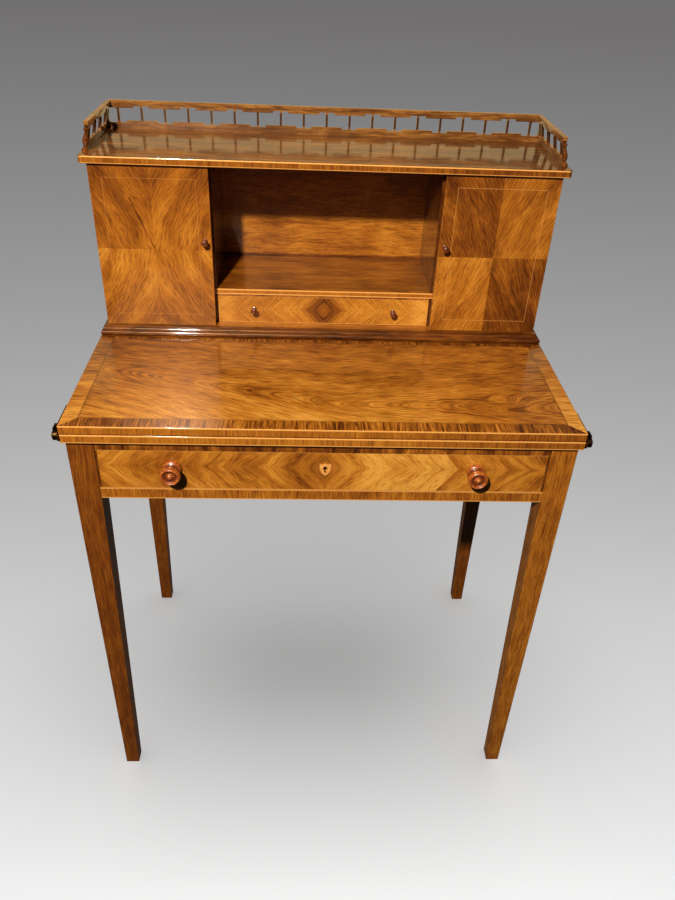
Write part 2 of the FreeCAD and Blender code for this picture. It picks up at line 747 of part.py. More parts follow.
def moulding_outline(face, outward, projection):
    """The base moulding's section: flat, bead, quirk, ovolo and fillet, from a face outwards."""
    low, high = d.writing_height, case_floor
    bead_low = low + d.base_flat
    bead_high = bead_low + 2 * d.bead_radius
    ovolo_high = high - d.base_fillet
    bead_root = projection - d.bead_radius
    ovolo_root = bead_root - d.base_quirk
    fillet = ovolo_root - (ovolo_high - bead_high)

    def at(out, z):
        return face + outward * out, z

    return [
        at(0, low), at(projection, low), at(projection, bead_low), at(bead_root, bead_low),
        arc_to(*at(bead_root, bead_high), at(bead_root, bead_low + d.bead_radius), outward),
        at(ovolo_root, bead_high),
        arc_to(*at(fillet, ovolo_high), at(fillet, bead_high), outward),
        at(fillet, high), at(0, high),
    ]


def base_moulding():
    """The moulding round the foot of the cabinet: one front length and two mitred side lengths."""
    reach = cabinet_half + d.side_base_projection
    front_line = door_front - d.base_projection
    body = new_body("moulding")
    pad(body, "YZ_Plane", [moulding_outline(door_front, -1, d.base_projection)], 2 * reach, middle=True)
    corner = (cabinet_half, door_front)
    pocket(body, "XY_Plane", [mitre(side, front_line, corner, "front") for side in (left, right)])
    piece("base_moulding_front", body)
    lengths = []
    for side in (left, right):
        body = new_body("moulding")
        section = moulding_outline(side * cabinet_half, side, d.side_base_projection)
        pad(body, "XZ_Plane", [section], legs_back - front_line, -legs_back)
        pocket(body, "XY_Plane", [mitre(side, front_line, corner, "side")])
        lengths.append(body)
    piece("base_moulding_sides", group(*lengths))


def mitre(side, front_line, corner, end):
    """The waste off one end of a moulding: the triangle on the far side of the mitre line."""
    inner = (side * corner[0], corner[1])
    outer = (side * (corner[0] + d.side_base_projection), front_line)
    spare = (outer[0], inner[1]) if end == "front" else (inner[0], outer[1])
    return [inner, outer, spare]


def cabinet_top():
    """The top board with rounded front corners and eased edges."""
    x, y = (-top_half, top_half), (door_front - d.top_board_overhang, top_back)
    radius = d.top_board_corner
    steps = [
        (x[1] - radius, y[0]), arc_to(x[1], y[0] + radius, (x[1] - radius, y[0] + radius), 1),
        (x[1], y[1]), (x[0], y[1]),
        (x[0], y[0] + radius), arc_to(x[0] + radius, y[0], (x[0] + radius, y[0] + radius), 1),
    ]
    body = new_body("top_board")
    ease(body, pad(body, "XY_Plane", [steps], d.top_board_thick, case_ceiling), d.top_board_arris)
    return piece("cabinet_top", body)


def cabinet(hinges):
    """The boards of the cabinet between the plinth and its top."""
    across = (-cabinet_half, cabinet_half)
    z = (case_floor, case_ceiling)
    y = (case_front, case_back)
    floor_z = (case_floor - d.case_bottom_thick, case_floor)
    piece("cabinet_bottom", board(across, (door_front, legs_back), floor_z))
    piece("cabinet_back", board(across, (case_back, legs_back), z))
    shelf_x = (-recess_half - d.shelf_housing, recess_half + d.shelf_housing)
    shelf = piece("centre_shelf", board(shelf_x, y, (shelf_under, shelf_top)))
    catches = []
    for side, name in ((left, "left"), (right, "right")):
        wall_x = span(side * cabinet_half, side * (cabinet_half - d.case_thick))
        piece(f"cabinet_side_{name}", cut(board(wall_x, y, z), *hinges[side].fixed_room))
        post_x = span(side * recess_half, side * (recess_half + d.partition_thick))
        catches.append(door_catch(side * (recess_half + d.partition_thick / 2)))
        piece(f"partition_{name}", cut(board(post_x, y, z), shelf, catches[-1]))
    piece("door_catches", group(*catches))


def door_catch(x):
    """A ball catch let into the front edge of a partition: a barrel with a low dome."""
    steps = [
        (0, d.catch_length), (d.catch_radius, d.catch_length), (d.catch_radius, 0),
        (d.catch_radius / 2, -d.catch_dome), (0, -d.catch_dome),
    ]
    return place(revolve("XY_Plane", steps), x, case_front, case_ceiling - d.catch_drop)


# Doors

def butt_hinges(side):
    """The two butt hinges of one door: leaves, pins, screws and the room that the wood gives them."""
    found = SimpleNamespace(fixed=[], moving=[], pins=[], fixed_screws=[], moving_screws=[])
    found.fixed_room, found.moving_room = [], []
    axis_x, axis_y = side * (cabinet_half + d.hinge_out), (door_back + case_front) / 2
    for level in (case_floor + d.hinge_inset, case_ceiling - d.hinge_inset):
        low = level - d.hinge_height / 2
        pin = rod(d.hinge_pin, d.hinge_height, (axis_x, axis_y, low), "+z")
        found.pins.append(pin)
        third = d.hinge_height * third_share
        ends = [(low, low + third - d.run_gap), (low + 2 * third + d.run_gap, low + d.hinge_height)]
        middle = [(low + third, low + 2 * third)]
        plate_z = (low, low + d.hinge_height)
        clear = d.knuckle_radius + d.run_gap
        room = rod(clear, d.hinge_height + 2 * d.run_gap, (axis_x, axis_y, low - d.run_gap), "+z")
        for kind, face, into, knuckles in (("fixed", case_front, 1, ends), ("moving", door_back, -1, middle)):
            y = span(face, face + into * d.hinge_leaf_thick)
            plate = board(span(axis_x - side * clear, axis_x - side * d.hinge_leaf), y, plate_z)
            tongues = [board(span(axis_x, axis_x - side * clear), y, limits) for limits in knuckles]
            barrels = [rod(d.knuckle_radius, z[1] - z[0], (axis_x, axis_y, z[0]), "+z") for z in knuckles]
            bore = d.hinge_pin if kind == "fixed" else d.hinge_pin + d.pin_gap
            hole = rod(bore, d.hinge_height, (axis_x, axis_y, low), "+z")
            leaf = fuse(plate, *tongues, *barrels)
            screw_x = axis_x - side * (clear + d.hinge_leaf) / 2
            direction = "+y" if into > 0 else "-y"
            levels = [level + d.hinge_height * share for share in hinge_screw_shares]
            screws = [screw((screw_x, face, screw_z), direction) for screw_z in levels]
            getattr(found, kind).append(cut(leaf, hole, *screws))
            getattr(found, f"{kind}_screws").extend(screws)
            getattr(found, f"{kind}_room").extend([room, plate, *tongues, *screws])
    return found


def doors(hinges):
    """Two doors that lie over the front of the cabinet, with knobs and their hinge leaves."""
    z = (case_floor + d.door_play, case_ceiling - d.door_play)
    for side, name in ((left, "left"), (right, "right")):
        inner = recess_half + d.partition_thick - d.door_lap
        x = span(side * cabinet_half, side * inner)
        level = (z[0] + z[1]) / 2 + d.door_knob_rise
        knob = small_knob(side * (inner + d.door_knob_inset), door_front, level)
        door = eased_board(x, (door_front, door_back), z, d.arris)
        piece(f"door_{name}", cut(door, knob, *hinges[side].moving_room))
        piece(f"door_knob_{name}", knob)
        piece(f"door_hinge_leaves_{name}", group(*hinges[side].moving))
        piece(f"door_hinge_screws_{name}", group(*hinges[side].moving_screws))
    both = (hinges[left], hinges[right])
    piece("door_hinge_leaves_fixed", group(*[leaf for found in both for leaf in found.fixed]))
    piece("door_hinge_screws_fixed", group(*[one for found in both for one in found.fixed_screws]))
    piece("door_hinge_pins", group(*[pin for found in both for pin in found.pins]))


# Gallery

def fret(axis, role, ends, head, bars, thick, back):
    """A pierced fret: bars with stepped blocks by turns under the head rail and on the foot rail.

    ends holds the (foot, head) places of the two outer ends along the fret, and head its height.
    """
    body = new_body("fret")
    (foot_start, head_start), (foot_end, head_end) = ends
    outline = [(foot_start, -d.fret_root), (foot_end, -d.fret_root), (foot_end, 0), (head_end, head)]
    pad(body, role, [outline + [(head_start, head), (foot_start, 0)]], thick, back=back)
    first = head_start + d.fret_end
    pitch = (head_end - d.fret_end - first) / (bars - 1)
    low, high = d.fret_foot_rail, head - d.fret_head_rail
    for turn, count in ((0, bars // 2), (1, (bars - 1) // 2)):
        opening = pocket(body, role, [stepped_opening(first + pitch * turn, pitch, low, high, turn)])
        repeat(body, opening, axis, 2 * pitch, count)
    last = head_end - d.fret_end
    start_stile = (foot_start + head_start) / 2 + d.fret_stile
    end_stile = (foot_end + head_end) / 2 - d.fret_stile
    half = d.fret_bar / 2
    slots = [(start_stile, first - half), (last + half, end_stile)]
    pocket(body, role, [rounded_rectangle(slot, (low, high - d.fret_step), d.fret_corner) for slot in slots])
    return body


def stepped_opening(start, pitch, low, high, turn):
    """One opening between two bars, with a step hanging at one bar and a step standing at the other."""
    near, far = start + d.fret_bar / 2, start + pitch - d.fret_bar / 2
    near_step, far_step = start + pitch * fret_step_share, start + pitch * (1 - fret_step_share)
    top_step, foot_step = high - d.fret_step, low + d.fret_step
    if turn == 0:
        return [
            (near, low), (far_step, low), (far_step, foot_step), (far, foot_step),
            (far, high), (near_step, high), (near_step, top_step), (near, top_step),
        ]
    return [
        (near, foot_step), (near_step, foot_step), (near_step, low), (far, low),
        (far, top_step), (far_step, top_step), (far_step, high), (near, high),
    ]


def gallery(top_board):
    """The low gallery on three sides of the top: frets, cap rails and two turned posts."""
    half = top_half - d.gallery_inset
    angle = slope_angle(d.gallery_lean, d.gallery_height)
    slant = hypotenuse(d.gallery_height, d.gallery_lean)
    head = d.gallery_height - d.cap_height
    back_y = top_back - d.fret_setback
    fret_front = back_y - d.fret_thick
    head_half = half - d.gallery_lean * head / d.gallery_height
    post_y = door_front - d.top_board_overhang + d.post_setback
    back_ends = ((-half, -head_half), (half, head_half))
    back = fret("X_Axis", "XZ_Plane", back_ends, head, back_bars, d.fret_thick, False)
    place(back, 0, back_y, board_top)
    piece("gallery_fret_back", cut(back, top_board))
    cap_y = back_y - d.fret_thick / 2
    cap_front = cap_y - d.cap_depth / 2
    cap_half = half - d.gallery_lean
    cap_z = (board_top + head, board_top + d.gallery_height)
    caps = [board((-cap_half, cap_half), (cap_front, cap_y + d.cap_depth / 2), cap_z)]
    posts = []
    for side, name in ((left, "left"), (right, "right")):
        turn = -side * angle
        run = ((post_y, post_y), (fret_front, fret_front))
        panel = fret("Y_Axis", "YZ_Plane", run, slant - d.cap_height, side_bars, d.fret_thick, side == right)
        place(panel, side * half, 0, board_top, (0, 1, 0), turn)
        post = revolve("XZ_Plane", post_outline(slant - d.cap_height))
        inset, sink = d.fret_thick / 2 * d.gallery_height / slant, d.fret_thick / 2 * d.gallery_lean / slant
        place(post, side * (half - inset), post_y, board_top - sink, (0, 1, 0), turn)
        post = cut(post, top_board)
        piece(f"gallery_fret_{name}", cut(panel, top_board, post))
        posts.append(post)
        caps.append(side_cap(side, (post_y - d.post_radius, cap_front), slant, half, turn))
    piece("gallery_cap_rails", group(*caps))
    piece("gallery_posts", group(*posts))


def post_outline(height):
    """A small turned baluster, with a stub below its foot that the top board trims."""
    return [(0, -d.fret_root), (d.post_radius, -d.fret_root)] + [
        (d.post_radius * out, height * up) for out, up in post_shares
    ]


def side_cap(side, y, slant, half, turn):
    """The cap rail along one side fret, which leans with it."""
    body = new_body("side_cap")
    middle = -side * d.fret_thick / 2
    x = (middle - d.cap_depth / 2, middle + d.cap_depth / 2)
    pad(body, "XY_Plane", [rectangle(x, y)], d.cap_height, slant - d.cap_height)
    return place(body, side * half, 0, board_top, (0, 1, 0), turn)


def check_and_write():
    """Recompute, stop at the first failed object or bad shape, then write each sub-part."""
    doc.recompute()
    for thing in doc.Objects:
        if {"Invalid", "Error"} & set(thing.State):
            raise RuntimeError(f"{thing.Name} ({thing.Label}) failed: {thing.State}")
    for thing in pieces:
        if thing.Shape.isNull() or not thing.Shape.isValid():
            raise RuntimeError(f"{thing.Label} has a bad shape")
    os.makedirs("parts", exist_ok=True)
    for thing in pieces:
        thing.Shape.exportStep(f"parts/{thing.Label}.step")
        print(thing.Label, len(thing.Shape.Solids), round(thing.Shape.Volume))


legs(rails())
runners()
writing_top()
frieze_drawer()
plinth()
base_moulding()
hinges_of = {side: butt_hinges(side) for side in (left, right)}
cabinet(hinges_of)
doors(hinges_of)
small_drawer()
gallery(cabinet_top())
check_and_write()
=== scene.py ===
# %% [markdown]
# # A bonheur du jour, from solid pieces to a polished desk
# The desk comes as sixty named solids that already stand in their places. This lesson keeps those
# solids and gives each one the finish of the real piece. Only the knobs and the writing leathers are
# made again, as finer surfaces. Shapes are in metres, as always in Blender, and every length inside
# a finish is in millimetres.

import bpy
import numpy as np
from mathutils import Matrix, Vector


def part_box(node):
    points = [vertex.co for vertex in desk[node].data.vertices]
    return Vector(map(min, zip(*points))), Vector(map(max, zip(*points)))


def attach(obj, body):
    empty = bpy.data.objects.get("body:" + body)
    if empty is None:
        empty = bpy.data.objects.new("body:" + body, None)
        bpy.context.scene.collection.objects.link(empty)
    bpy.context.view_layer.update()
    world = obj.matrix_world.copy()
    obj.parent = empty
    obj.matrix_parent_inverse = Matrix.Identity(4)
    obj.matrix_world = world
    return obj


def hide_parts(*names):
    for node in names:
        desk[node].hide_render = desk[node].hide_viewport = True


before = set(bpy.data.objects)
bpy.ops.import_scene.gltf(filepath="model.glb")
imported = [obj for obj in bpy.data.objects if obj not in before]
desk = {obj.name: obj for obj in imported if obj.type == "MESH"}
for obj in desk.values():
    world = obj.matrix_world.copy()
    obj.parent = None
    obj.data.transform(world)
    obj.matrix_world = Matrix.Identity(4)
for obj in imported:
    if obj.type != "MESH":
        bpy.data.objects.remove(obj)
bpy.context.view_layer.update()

mm_per_metre = 1000

# %% [markdown]
# ## Camera
# The desk is seen from a little left of its middle, looking down on the writing leaf. A camera can be
# set by eye, but here its place and angles were solved from corners of the desk, so the legs, the
# leaf and the gallery all fall where they should without any lens shift. The Standard view keeps the
# colours that the finishes ask for.


# %% Set the camera
def add_piece(name, data):
    """Make an object from its data and put it into the scene."""
    piece = bpy.data.objects.new(name, data)
    bpy.context.scene.collection.objects.link(piece)
    return piece


camera_tilt, camera_roll, camera_turn = 55.461, -2.226, -1.861
camera = add_piece("camera", bpy.data.cameras.new("camera"))
camera.data.lens = 30.94
camera.location = (-0.03595, -1.08558, 1.31697)
camera.rotation_euler = np.radians((camera_tilt, camera_roll, camera_turn))
bpy.context.scene.camera = camera
bpy.context.scene.view_settings.view_transform = "Standard"
print("camera looks down by", round(90 - camera_tilt, 1), "degrees")

# %% [markdown]
# ## Reading a place on the surface
# A veneered front is a puzzle of thin sheets, each with its own grain direction. Painting that by
# hand would need an image. Instead every material asks where on the board a point lies and does
# arithmetic with the answer. A Math node is one sum, so this small class lets us write the sums as
# ordinary Python, and each sign adds its node.


# %% Arithmetic that builds nodes
def join(tree, value, socket):
    """Plug a node output into a socket, or set the socket to a plain value."""
    value = value.socket if isinstance(value, Measure) else value
    if isinstance(value, bpy.types.NodeSocket):
        tree.links.new(value, socket)
    else:
        socket.default_value = (*value, 1.0) if isinstance(value, tuple) and len(value) == 3 else value


class Measure:
    """A number that changes over a surface. Arithmetic on it adds Math nodes to its material."""

    def __init__(self, socket):
        self.socket = socket

    def work(self, operation, *others):
        """One Math node that takes this number first and the others after it."""
        tree = self.socket.id_data
        node = tree.nodes.new("ShaderNodeMath")
        node.operation = operation
        for socket, value in zip(node.inputs, (self, *others)):
            join(tree, value, socket)
        return Measure(node.outputs[0])

    def __add__(self, other):
        return self.work("ADD", other)

    def __sub__(self, other):
        return self.work("SUBTRACT", other)

    def __mul__(self, other):
        return self.work("MULTIPLY", other)

    def __truediv__(self, other):
        return self.work("DIVIDE", other)

    def __rsub__(self, other):
        return self.work("MULTIPLY", -1.0) + other

    def __abs__(self):
        return self.work("ABSOLUTE")

    __radd__ = __add__
    __rmul__ = __mul__

    def below(self, limit):
        """1 where the number is below the limit and 0 elsewhere."""
        return self.work("LESS_THAN", limit)

    def least(self, other):
        return self.work("MINIMUM", other)

    def most(self, other):
        return self.work("MAXIMUM", other)

    def rise(self, low, high):
        """0 up to low, 1 from high, and a smooth slope between them."""
        tree = self.socket.id_data
        node = tree.nodes.new("ShaderNodeMapRange")
        node.interpolation_type = "SMOOTHSTEP"
        for socket, value in zip(node.inputs, (self, low, high, 0.0, 1.0)):
            join(tree, value, socket)
        return Measure(node.outputs[0])


print("ready to measure")

# %% [markdown]
# ## A finish in the making
# Each finish is one Principled shader. Its Mapping node puts zero in the middle of the board and
# counts in millimetres, so that a 21 mm banding is written as 21. Noise stretched along one
# direction looks like grain, and a colour ramp turns light and dark into the colours of wood.


# %% The finish class
def shade(red, green, blue):
    """A screen colour of 0 to 255 as the linear light that a shader works in."""
    share = np.array((red, green, blue)) / 255
    linear = np.where(share < 0.04045, share / 12.92, ((share + 0.055) / 1.055) ** 2.4)
    return tuple(float(part) for part in linear)


class Finish:
    """A material in the making, with x, y, z in mm from the middle of the piece it is made for."""

    def __init__(self, name, middle=(0, 0, 0), **surface):
        self.material = bpy.data.materials.new(name)
        self.material.use_nodes = True
        self.tree = self.material.node_tree
        self.shader = self.tree.nodes["Principled BSDF"]
        for socket, value in surface.items():
            self.shader.inputs[socket.replace("_", " ")].default_value = value
        places = self.node("ShaderNodeTexCoord").outputs["Object"]
        centred = self.node("ShaderNodeMapping", Vector=places)
        centred.inputs["Location"].default_value = [-mm_per_metre * place for place in middle]
        centred.inputs["Scale"].default_value = (mm_per_metre,) * 3
        split = self.node("ShaderNodeSeparateXYZ", Vector=centred.outputs[0])
        self.x, self.y, self.z = map(Measure, split.outputs)

    def node(self, kind, **values):
        """A new node with its sockets plugged or set."""
        made = self.tree.nodes.new(kind)
        for socket, value in values.items():
            join(self.tree, value, made.inputs[socket])
        return made

    def noise(self, along, across, layer, detail=2.0, roughness=0.5):
        """Cloudy values about 0.5 at a point whose three distances are already scaled."""
        point = self.node("ShaderNodeCombineXYZ", X=along, Y=across, Z=layer).outputs[0]
        clouds = self.node("ShaderNodeTexNoise", Vector=point, Scale=1.0, Detail=detail, Roughness=roughness)
        return Measure(clouds.outputs[0])

    def toned(self, light, tones):
        """A colour ramp from (place, colour) pairs."""
        ramp = self.node("ShaderNodeValToRGB", Fac=light)
        while len(ramp.color_ramp.elements) < len(tones):
            ramp.color_ramp.elements.new(0.5)
        for element, (place, colour) in zip(ramp.color_ramp.elements, tones):
            element.position = place
            element.color = (*colour, 1.0)
        return ramp.outputs[0]

    def mix(self, share, first, second):
        """One colour laid over another by a share of 0 to 1.

        A Mix node has sockets for every kind of value: inputs 6 and 7 and output 2 are for colours.
        """
        node = self.tree.nodes.new("ShaderNodeMix")
        node.data_type = "RGBA"
        for number, value in ((0, share), (6, first), (7, second)):
            join(self.tree, value, node.inputs[number])
        return node.outputs[2]

    def give(self, socket, value):
        """Plug a value into the shader."""
        join(self.tree, value, self.shader.inputs[socket])

    def relief(self, height, depth, strength=0.5):
        """Small hills and hollows from a height of 0 to 1, of a depth in mm."""
        bump = self.node("ShaderNodeBump", Strength=strength, Distance=depth / mm_per_metre, Height=height)
        self.give("Normal", bump.outputs[0])


def choose(switch, first, second):
    """first where the switch is 0 and second where it is 1."""
    return first + (second - first) * switch


dressed = set()


def dress(finish, *names):
    """Give named pieces a finish."""
    for name in names:
        piece = desk[name]
        piece.data.materials.clear()
        piece.data.materials.append(finish.material)
        dressed.add(name)


print("the finish class is ready")

# %% [markdown]
# ## The floor
# In a studio a desk stands on a plain pale sweep of paper that greys towards the wall. The sweep could
# be lit unevenly, but painted light is easier to hold: its tone is a painted pool of light that
# follows the distance from a pale spot in front of the desk. It sends no light back onto the polish,
# or the undersides would turn grey.


# %% Lay the floor
def floor_sheet(reach):
    """A flat square: the point at u and v lies at x = u, y = v and height 0, up to reach each way."""
    u, v = np.meshgrid((-reach, reach), (-reach, reach))
    mesh = bpy.data.meshes.new("floor")
    mesh.from_pydata(np.stack([u, v, 0 * u], -1).reshape(-1, 3), [], [(0, 1, 3, 2)])
    return mesh


floor = add_piece("floor", floor_sheet(reach=30.0))
floor.visible_diffuse = floor.visible_glossy = False
paper = Finish("pale_floor", Roughness=0.9, Specular_IOR_Level=0.1)
# Painted light: the sweep is palest at a spot in front of the desk and greys with the distance from it.
pale_spot_ahead, pale_spot_radius, fall_off = 1086, 500, 1317
sideways_share, ramp_share = 0.5, 0.4545
ahead, aside = paper.y + pale_spot_ahead, paper.x * sideways_share
distance = (ahead * ahead + aside * aside).work("SQRT").most(pale_spot_radius)
nearness = (distance / fall_off).work("POWER", -1.0)
wall_grey = shade(113, 111, 112)
paper_tones = (
    (0.04, wall_grey), (0.2, shade(157, 157, 157)),
    (0.46, shade(207, 207, 207)), (0.96, shade(250, 250, 250)),
)
paper.give("Base Color", paper.toned(nearness * ramp_share, paper_tones))
floor.data.materials.append(paper.material)
print("floor reaches", floor.dimensions.x / 2, "m")

# %% [markdown]
# ## The lights
# One small warm lamp high on the left draws the crisp shadows in the recess and behind the knobs. Two
# suns reach only the floor: one without shadows, one so broad that it leaves a soft shade between the
# legs. Light linking is the tool for that. Two large lights fill the desk's back, hidden from its
# polish, and a dim warm glow from behind lies in the polish of its tops.


# %% Hang the lights
def hang_light(name, spot, target, size, watts):
    """A round area light that faces a target."""
    light = add_piece(name, bpy.data.lights.new(name, "AREA"))
    light.data.shape = "DISK"
    light.data.size = size
    light.data.energy = watts
    light.location = spot
    light.rotation_euler = (Vector(target) - light.location).to_track_quat("-Z", "Y").to_euler()
    return light


def link_floor(light, state):
    """Let a light reach only the floor, or everything but the floor."""
    reached = bpy.data.collections.new(light.name + "_reach")
    reached.objects.link(floor)
    reached.collection_objects[0].light_linking.link_state = state
    light.light_linking.receiver_collection = reached


lamp = hang_light("lamp", (-0.58, -1.80, 2.38), (0.0, 0.0, 0.75), size=0.12, watts=108)
lamp.data.color = (1.0, 0.92, 0.82)
link_floor(lamp, "EXCLUDE")
floor_strength = 1.5
for name, spread, shades in (("floor_fill", 5, False), ("floor_shade", 50, True)):
    overhead = add_piece(name, bpy.data.lights.new(name, "SUN"))
    overhead.data.energy = floor_strength
    overhead.data.angle = np.radians(spread)
    overhead.data.use_shadow = shades
    link_floor(overhead, "INCLUDE")
for name, side in (("back_left", -2.6), ("back_right", 2.6)):
    back_light = hang_light(name, (side, 2.4, 1.6), (0.0, 0.1, 0.8), size=3.0, watts=90)
    back_light.visible_glossy = False
    link_floor(back_light, "EXCLUDE")
wall_glow = hang_light("wall_glow", (0.0, 3.0, 1.5), (0.0, 0.0, 1.0), size=3.2, watts=14)
wall_glow.data.color = (1.0, 0.69, 0.3)
wall_glow.visible_camera = False
link_floor(wall_glow, "EXCLUDE")
print("lamp height", lamp.location.z, "m")

# %% [markdown]
# ## The room
# A room also sends a little light from everywhere. The world gives it, faint and warm. Its own colour
# would show behind the desk, so a Light Path node hands the camera the grey of the wall instead.

# %% Fill the room
studio = bpy.data.worlds.new("studio")
studio.use_nodes = True
air = studio.node_tree
glow = air.nodes["Background"]
glow.inputs["Color"].default_value = (1.0, 0.93, 0.82, 1.0)
glow.inputs["Strength"].default_value = 0.032
wall = air.nodes.new("ShaderNodeBackground")
wall.inputs["Color"].default_value = (*wall_grey, 1.0)
seen = air.nodes.new("ShaderNodeMixShader")
straight_view = air.nodes.new("ShaderNodeLightPath").outputs["Is Camera Ray"]
for socket, output in zip(seen.inputs, (straight_view, glow.outputs[0], wall.outputs[0])):
    air.links.new(output, socket)
air.links.new(seen.outputs[0], air.nodes["World Output"].inputs["Surface"])
bpy.context.scene.world = studio
print("room glow", round(glow.inputs["Strength"].default_value, 3))

# %% [markdown]
# ## Figured wood
# The sheets are cut from one warm, streaky wood under a hard polish. Wood shows several widths of
# mark: broad bands from the growth of the tree, clouds, fine hairs, dark lines and pores. Each is the
# same noise drawn out along the grain, only at another width. A slow drift bends all of them
# together, so the lines stay side by side as they do in a tree. The polish is the shader's coat.

# %% Grain
gold_tones = (
    (0.0, shade(57, 23, 4)), (0.25, shade(105, 53, 11)), (0.5, shade(152, 88, 22)),
    (0.75, shade(186, 119, 37)), (1.0, shade(214, 151, 62)),
)
plain_light = 0.53


def grain(finish, along, across, layer, tone=0.0, band=16.0, sway=8.0, figure=1.0, lines=0.14,
          streak=0.7, hair=(34.0, 1.9), pore=(10.0, 1.4)):
    """Light and dark of wood from 0 to 1, and its pores, from distances along and across the grain.

    band is the width of the growth bands, sway how far the lines bend, and hair and pore are the
    length and width of those marks, all in mm. figure, lines and streak are the strengths of the
    broad marks, the dark lines and the hairs. Another layer is another place in the log.
    """
    drift = finish.noise(along / 110, across / 55, layer, 2) - 0.5
    across = across + drift * (2 * sway)

    def marks(length, width, depth, detail=2, roughness=0.5):
        """Noise in marks of about this length and width in mm, read at a depth in the log."""
        return finish.noise(along / length, across / width, layer + depth, detail, roughness)

    broad = marks(260, band, 3.7) - 0.5
    cloud = marks(60, 32, 5.3, detail=3) - 0.5
    fine = marks(*hair, 8.1, roughness=0.6) - 0.5
    dark = marks(130, 0.45 * band, 12.9).rise(0.61, 0.73)
    light = (broad * 0.5 + cloud * 0.6) * figure + fine * streak - dark * lines + (plain_light + tone)
    pores = marks(*pore, 17.3).rise(0.54, 0.68)
    return light, pores


print("grain has", len(gold_tones), "tones")

# %% [markdown]
# ## Polish, wear and painted highlight
# Old polish is glassy on the flats, sinks a little into the pores and is rubbed through to lighter
# wood on sharp edges; the lighter edges also stand for the highlights that run along the arrises, so
# they are partly painted highlight. An edge is where two of a board's faces are near, so the second
# smallest of the three depths below the faces finds it without any painted mask.

# %% Polish
pore_colour = shade(48, 20, 5)
worn_highlight_colour = shade(200, 122, 54)
polish = {"Coat_Weight": 1.0, "Coat_Roughness": 0.09, "Coat_IOR": 1.5, "Specular_IOR_Level": 0.3,
          "Specular_Tint": (1.0, 0.72, 0.42, 1.0)}


def polish_wood(finish, light, pores, tones=gold_tones, lines=(), wear_and_highlight=None):
    """Colour, gloss and relief of polished wood; lines are (share, colour) laid over the figure."""
    pore_share, wear_highlight_share = 0.42, 0.55
    colour = finish.mix(pores * pore_share, finish.toned(light, tones), pore_colour)
    for share, line_colour in lines:
        colour = finish.mix(share, colour, line_colour)
    # Lighter edges: partly wear and partly a painted highlight along the arrises.
    if wear_and_highlight is not None:
        colour = finish.mix(wear_and_highlight * wear_highlight_share, colour, worn_highlight_colour)
    finish.give("Base Color", colour)
    finish.give("Roughness", pores * 0.2 + 0.34)
    finish.relief(pores, depth=-0.04, strength=0.35)


def inside_faces(finish, half):
    """How far a point lies inside the three pairs of faces of a board, in mm."""
    return [size - abs(place) for size, place in zip(half, (finish.x, finish.y, finish.z))]


def arris_wear_and_highlight(finish, depths, width=1.3, patch=23):
    """1 on the worn edges of a board, where two faces are near, broken into patches by noise; the
    lighter colour laid there is partly wear and partly a painted highlight.
    """
    deep_x, deep_y, deep_z = depths
    first = deep_x.least(deep_y).least(deep_z)
    last = deep_x.most(deep_y).most(deep_z)
    second = deep_x + deep_y + deep_z - first - last
    rubbed = finish.noise(finish.x / patch, finish.y / patch, finish.z / patch, 3).rise(0.35, 0.62)
    return (1.0 - second.rise(0.2, width)) * rubbed


def half_sizes(low, high):
    """Half the length, depth and height of a box, in mm."""
    return tuple((high - low) * (mm_per_metre / 2))


def board_finish(name, piece):
    """A polished finish centred on a board, with the board's half sizes in mm."""
    low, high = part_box(piece)
    return Finish(name, (low + high) / 2, **polish), half_sizes(low, high)


print("polish has", len(polish), "settings")

# %% [markdown]
# ## The crossbanded leaf and tops
# The writing leaf has a field whose grain runs from side to side, framed by a band cut across the
# grain and mitred at the corners. Its edge is banded too, under a pale string. One rule finds the
# sheet: the nearest edge decides the band, and the band's grain points at that edge. The leaf's
# field was sawn near the heart of the log, so its lines close in long arches round one knot.


# %% Heart arches
def heart_arches(finish):
    """Growth rings of a board sawn lengthwise, as a distance across the grain.

    The value is the distance from a slanting heart line, blunted close to it, less a share of the way
    to the right, so that its levels close in arches. A hill in the form of a bell adds the knot.
    """
    heart_ahead, heart_slant, slant_end = 60, 0.26, 20
    bluntness, closing_share = 150, 0.13
    knot_place, knot_size, knot_height = (256, -53), (42, 15), 18
    aside = finish.y + heart_ahead + finish.x.least(slant_end) * heart_slant
    knot_x = (finish.x - knot_place[0]) / knot_size[0]
    knot_y = (finish.y - knot_place[1]) / knot_size[1]
    knot = (0.0 - knot_x * knot_x - knot_y * knot_y).work("EXPONENT")
    return (aside * aside + bluntness).work("SQRT") - finish.x * closing_share + knot * knot_height


def painted_leaf_glow(finish, light, side_band, turned, flat_face):
    """Painted reflection of the lamp: the leaf's field and side bands lighten towards the front,
    most on the left. Its right side band is lighter and its left end darker.
    """
    forward = choose(side_band, 1.0 - finish.x.rise(40, 240), 1.3) * (1.0 - turned) * flat_face
    light = light - finish.y * forward * 0.0016
    right_band = side_band * finish.x.rise(0, 1) * 0.12
    left_end = (1.0 - finish.x.rise(-290, -170)) * 0.15
    return light + (right_band - left_end) * flat_face


print("arches ready for the leaf")

# %% [markdown]
# ## Laying the boards
# The same rule serves the leaf, the fixed top, the cabinet's top and the shelf: a board without a
# band has a band of no width. Short dark strokes across the band show that it was cut across the
# grain, and a thin dark seam parts it from the field.

# %% Leaf, fixed top, cabinet top, shelf
edge_string_colour = shade(228, 164, 84)
joint_colour = shade(48, 20, 7)


